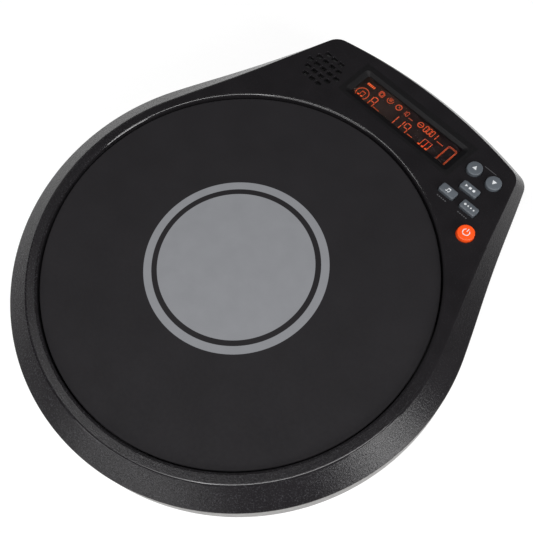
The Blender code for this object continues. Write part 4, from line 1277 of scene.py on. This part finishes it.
def finish_cad_nodes():
    """Procedural materials for the inner pieces that keep their CAD shape."""
    kinds = {
        "pad_plate": "steel", "impact_sensor": "brass", "main_board": "board", "jack_board": "board",
        "display_backlight": "light_guide", "speaker_magnet": "magnet", "contact": "contact",
        "board_screw": "steel", "sensor_lead": "lead", "speaker_lead": "lead", "battery_lead": "lead",
    }
    for name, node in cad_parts.items():
        for start, finish in kinds.items():
            if name.startswith(start):
                set_material(node, finish)
        if name.endswith("_switch"):
            set_material(node, "black_fine")


def set_material(node, finish):
    """Give a CAD node another material."""
    for slot in node.material_slots:
        slot.material = FINISHES[finish]


# ---------------------------------------------------------------- stage, light and camera
def make_floor():
    """A pale floor, hardly uneven."""
    mesh = bmesh.new()
    bmesh.ops.create_grid(mesh, x_segments=8, y_segments=8, size=6.0)
    floor = add_object("floor", mesh)
    made = Finish("floor_white", 0.75, specular=0.2)
    made.set("Base Color", made.clouded((0.30, 0.30, 0.30), 0.010, 0.6))
    made.set("Roughness", made.uneven(0.3, 2.0, 0.7, 0.8))
    made.set("Emission Color", (1.0, 1.0, 1.0))
    made.set("Emission Strength", 0.785)
    floor.data.materials.append(made.made)


def area_light(name, azimuth, elevation, distance, width, height, power):
    """A soft rectangular lamp aimed at the pad, azimuth anticlockwise from +X, in degrees."""
    turn, rise = math.radians(azimuth), math.radians(elevation)
    away = Vector((math.cos(turn) * math.cos(rise), math.sin(turn) * math.cos(rise), math.sin(rise)))
    data = bpy.data.lights.new(name, "AREA")
    data.shape = "RECTANGLE"
    data.size = width
    data.size_y = height
    data.energy = power
    lamp = bpy.data.objects.new(name, data)
    lamp.location = Vector((PAD_X, PAD_Y, RUBBER_TOP)) + away * distance
    lamp.rotation_euler = away.to_track_quat("Z", "Y").to_euler()
    bpy.context.scene.collection.objects.link(lamp)


def make_light():
    """A soft lamp overhead, one along the front, two low ones and a dim surround."""
    area_light("top_lamp", -25.0, 66.0, 1.5, 1.2, 0.3, 10.6)
    area_light("ridge_lamp", -108.0, 68.0, 1.5, 1.3, 0.25, 7.4)
    area_light("right_lamp", 5.0, 22.0, 1.5, 0.50, 0.5, 9.0)
    area_light("front_lamp", -82.0, 21.0, 1.5, 1.2, 0.4, 5.4)
    world = bpy.data.worlds.new("surround")
    world.use_nodes = True
    world.node_tree.nodes["Background"].inputs["Color"].default_value = (1.0, 1.0, 1.0, 1.0)
    world.node_tree.nodes["Background"].inputs["Strength"].default_value = 0.05
    bpy.context.scene.world = world


def make_camera():
    """A camera above the right front of the pad, turned a little about its own axis."""
    heading = math.radians(60.8)
    elevation = math.radians(66.26)
    roll = math.radians(13.22)
    distance = 0.44586
    aside = 0.00020
    raised = 0.00194
    turn = Matrix.Rotation(heading, 3, "Z") @ Matrix.Rotation(math.pi / 2 - elevation, 3, "X")
    across, upwards, back = turn.col[0], turn.col[1], turn.col[2]
    place = Vector((PAD_X, PAD_Y, RUBBER_TOP)) - across * aside - upwards * raised + back * distance
    data = bpy.data.cameras.new("camera")
    data.sensor_width = 36.0
    data.lens = 47.237
    data.shift_x = 0.05771
    data.shift_y = 0.00094
    data.clip_start = 0.01
    camera = bpy.data.objects.new("camera", data)
    camera.matrix_world = Matrix.Translation(place) @ (turn @ Matrix.Rotation(-roll, 3, "Z")).to_4x4()
    bpy.context.scene.collection.objects.link(camera)
    bpy.context.scene.camera = camera


# ---------------------------------------------------------------- build
def build():
    """Every piece, then the stage."""
    bpy.context.scene.view_settings.view_transform = "Standard"
    make_top_shell()
    make_bottom_shell()
    make_feet()
    make_screws()
    make_pad()
    make_foam_ring()
    make_keys()
    make_display()
    make_panel_print()
    make_sockets()
    make_door()
    make_cells()
    make_springs()
    make_speaker()
    finish_cad_nodes()
    make_floor()
    make_light()
    make_camera()


build()
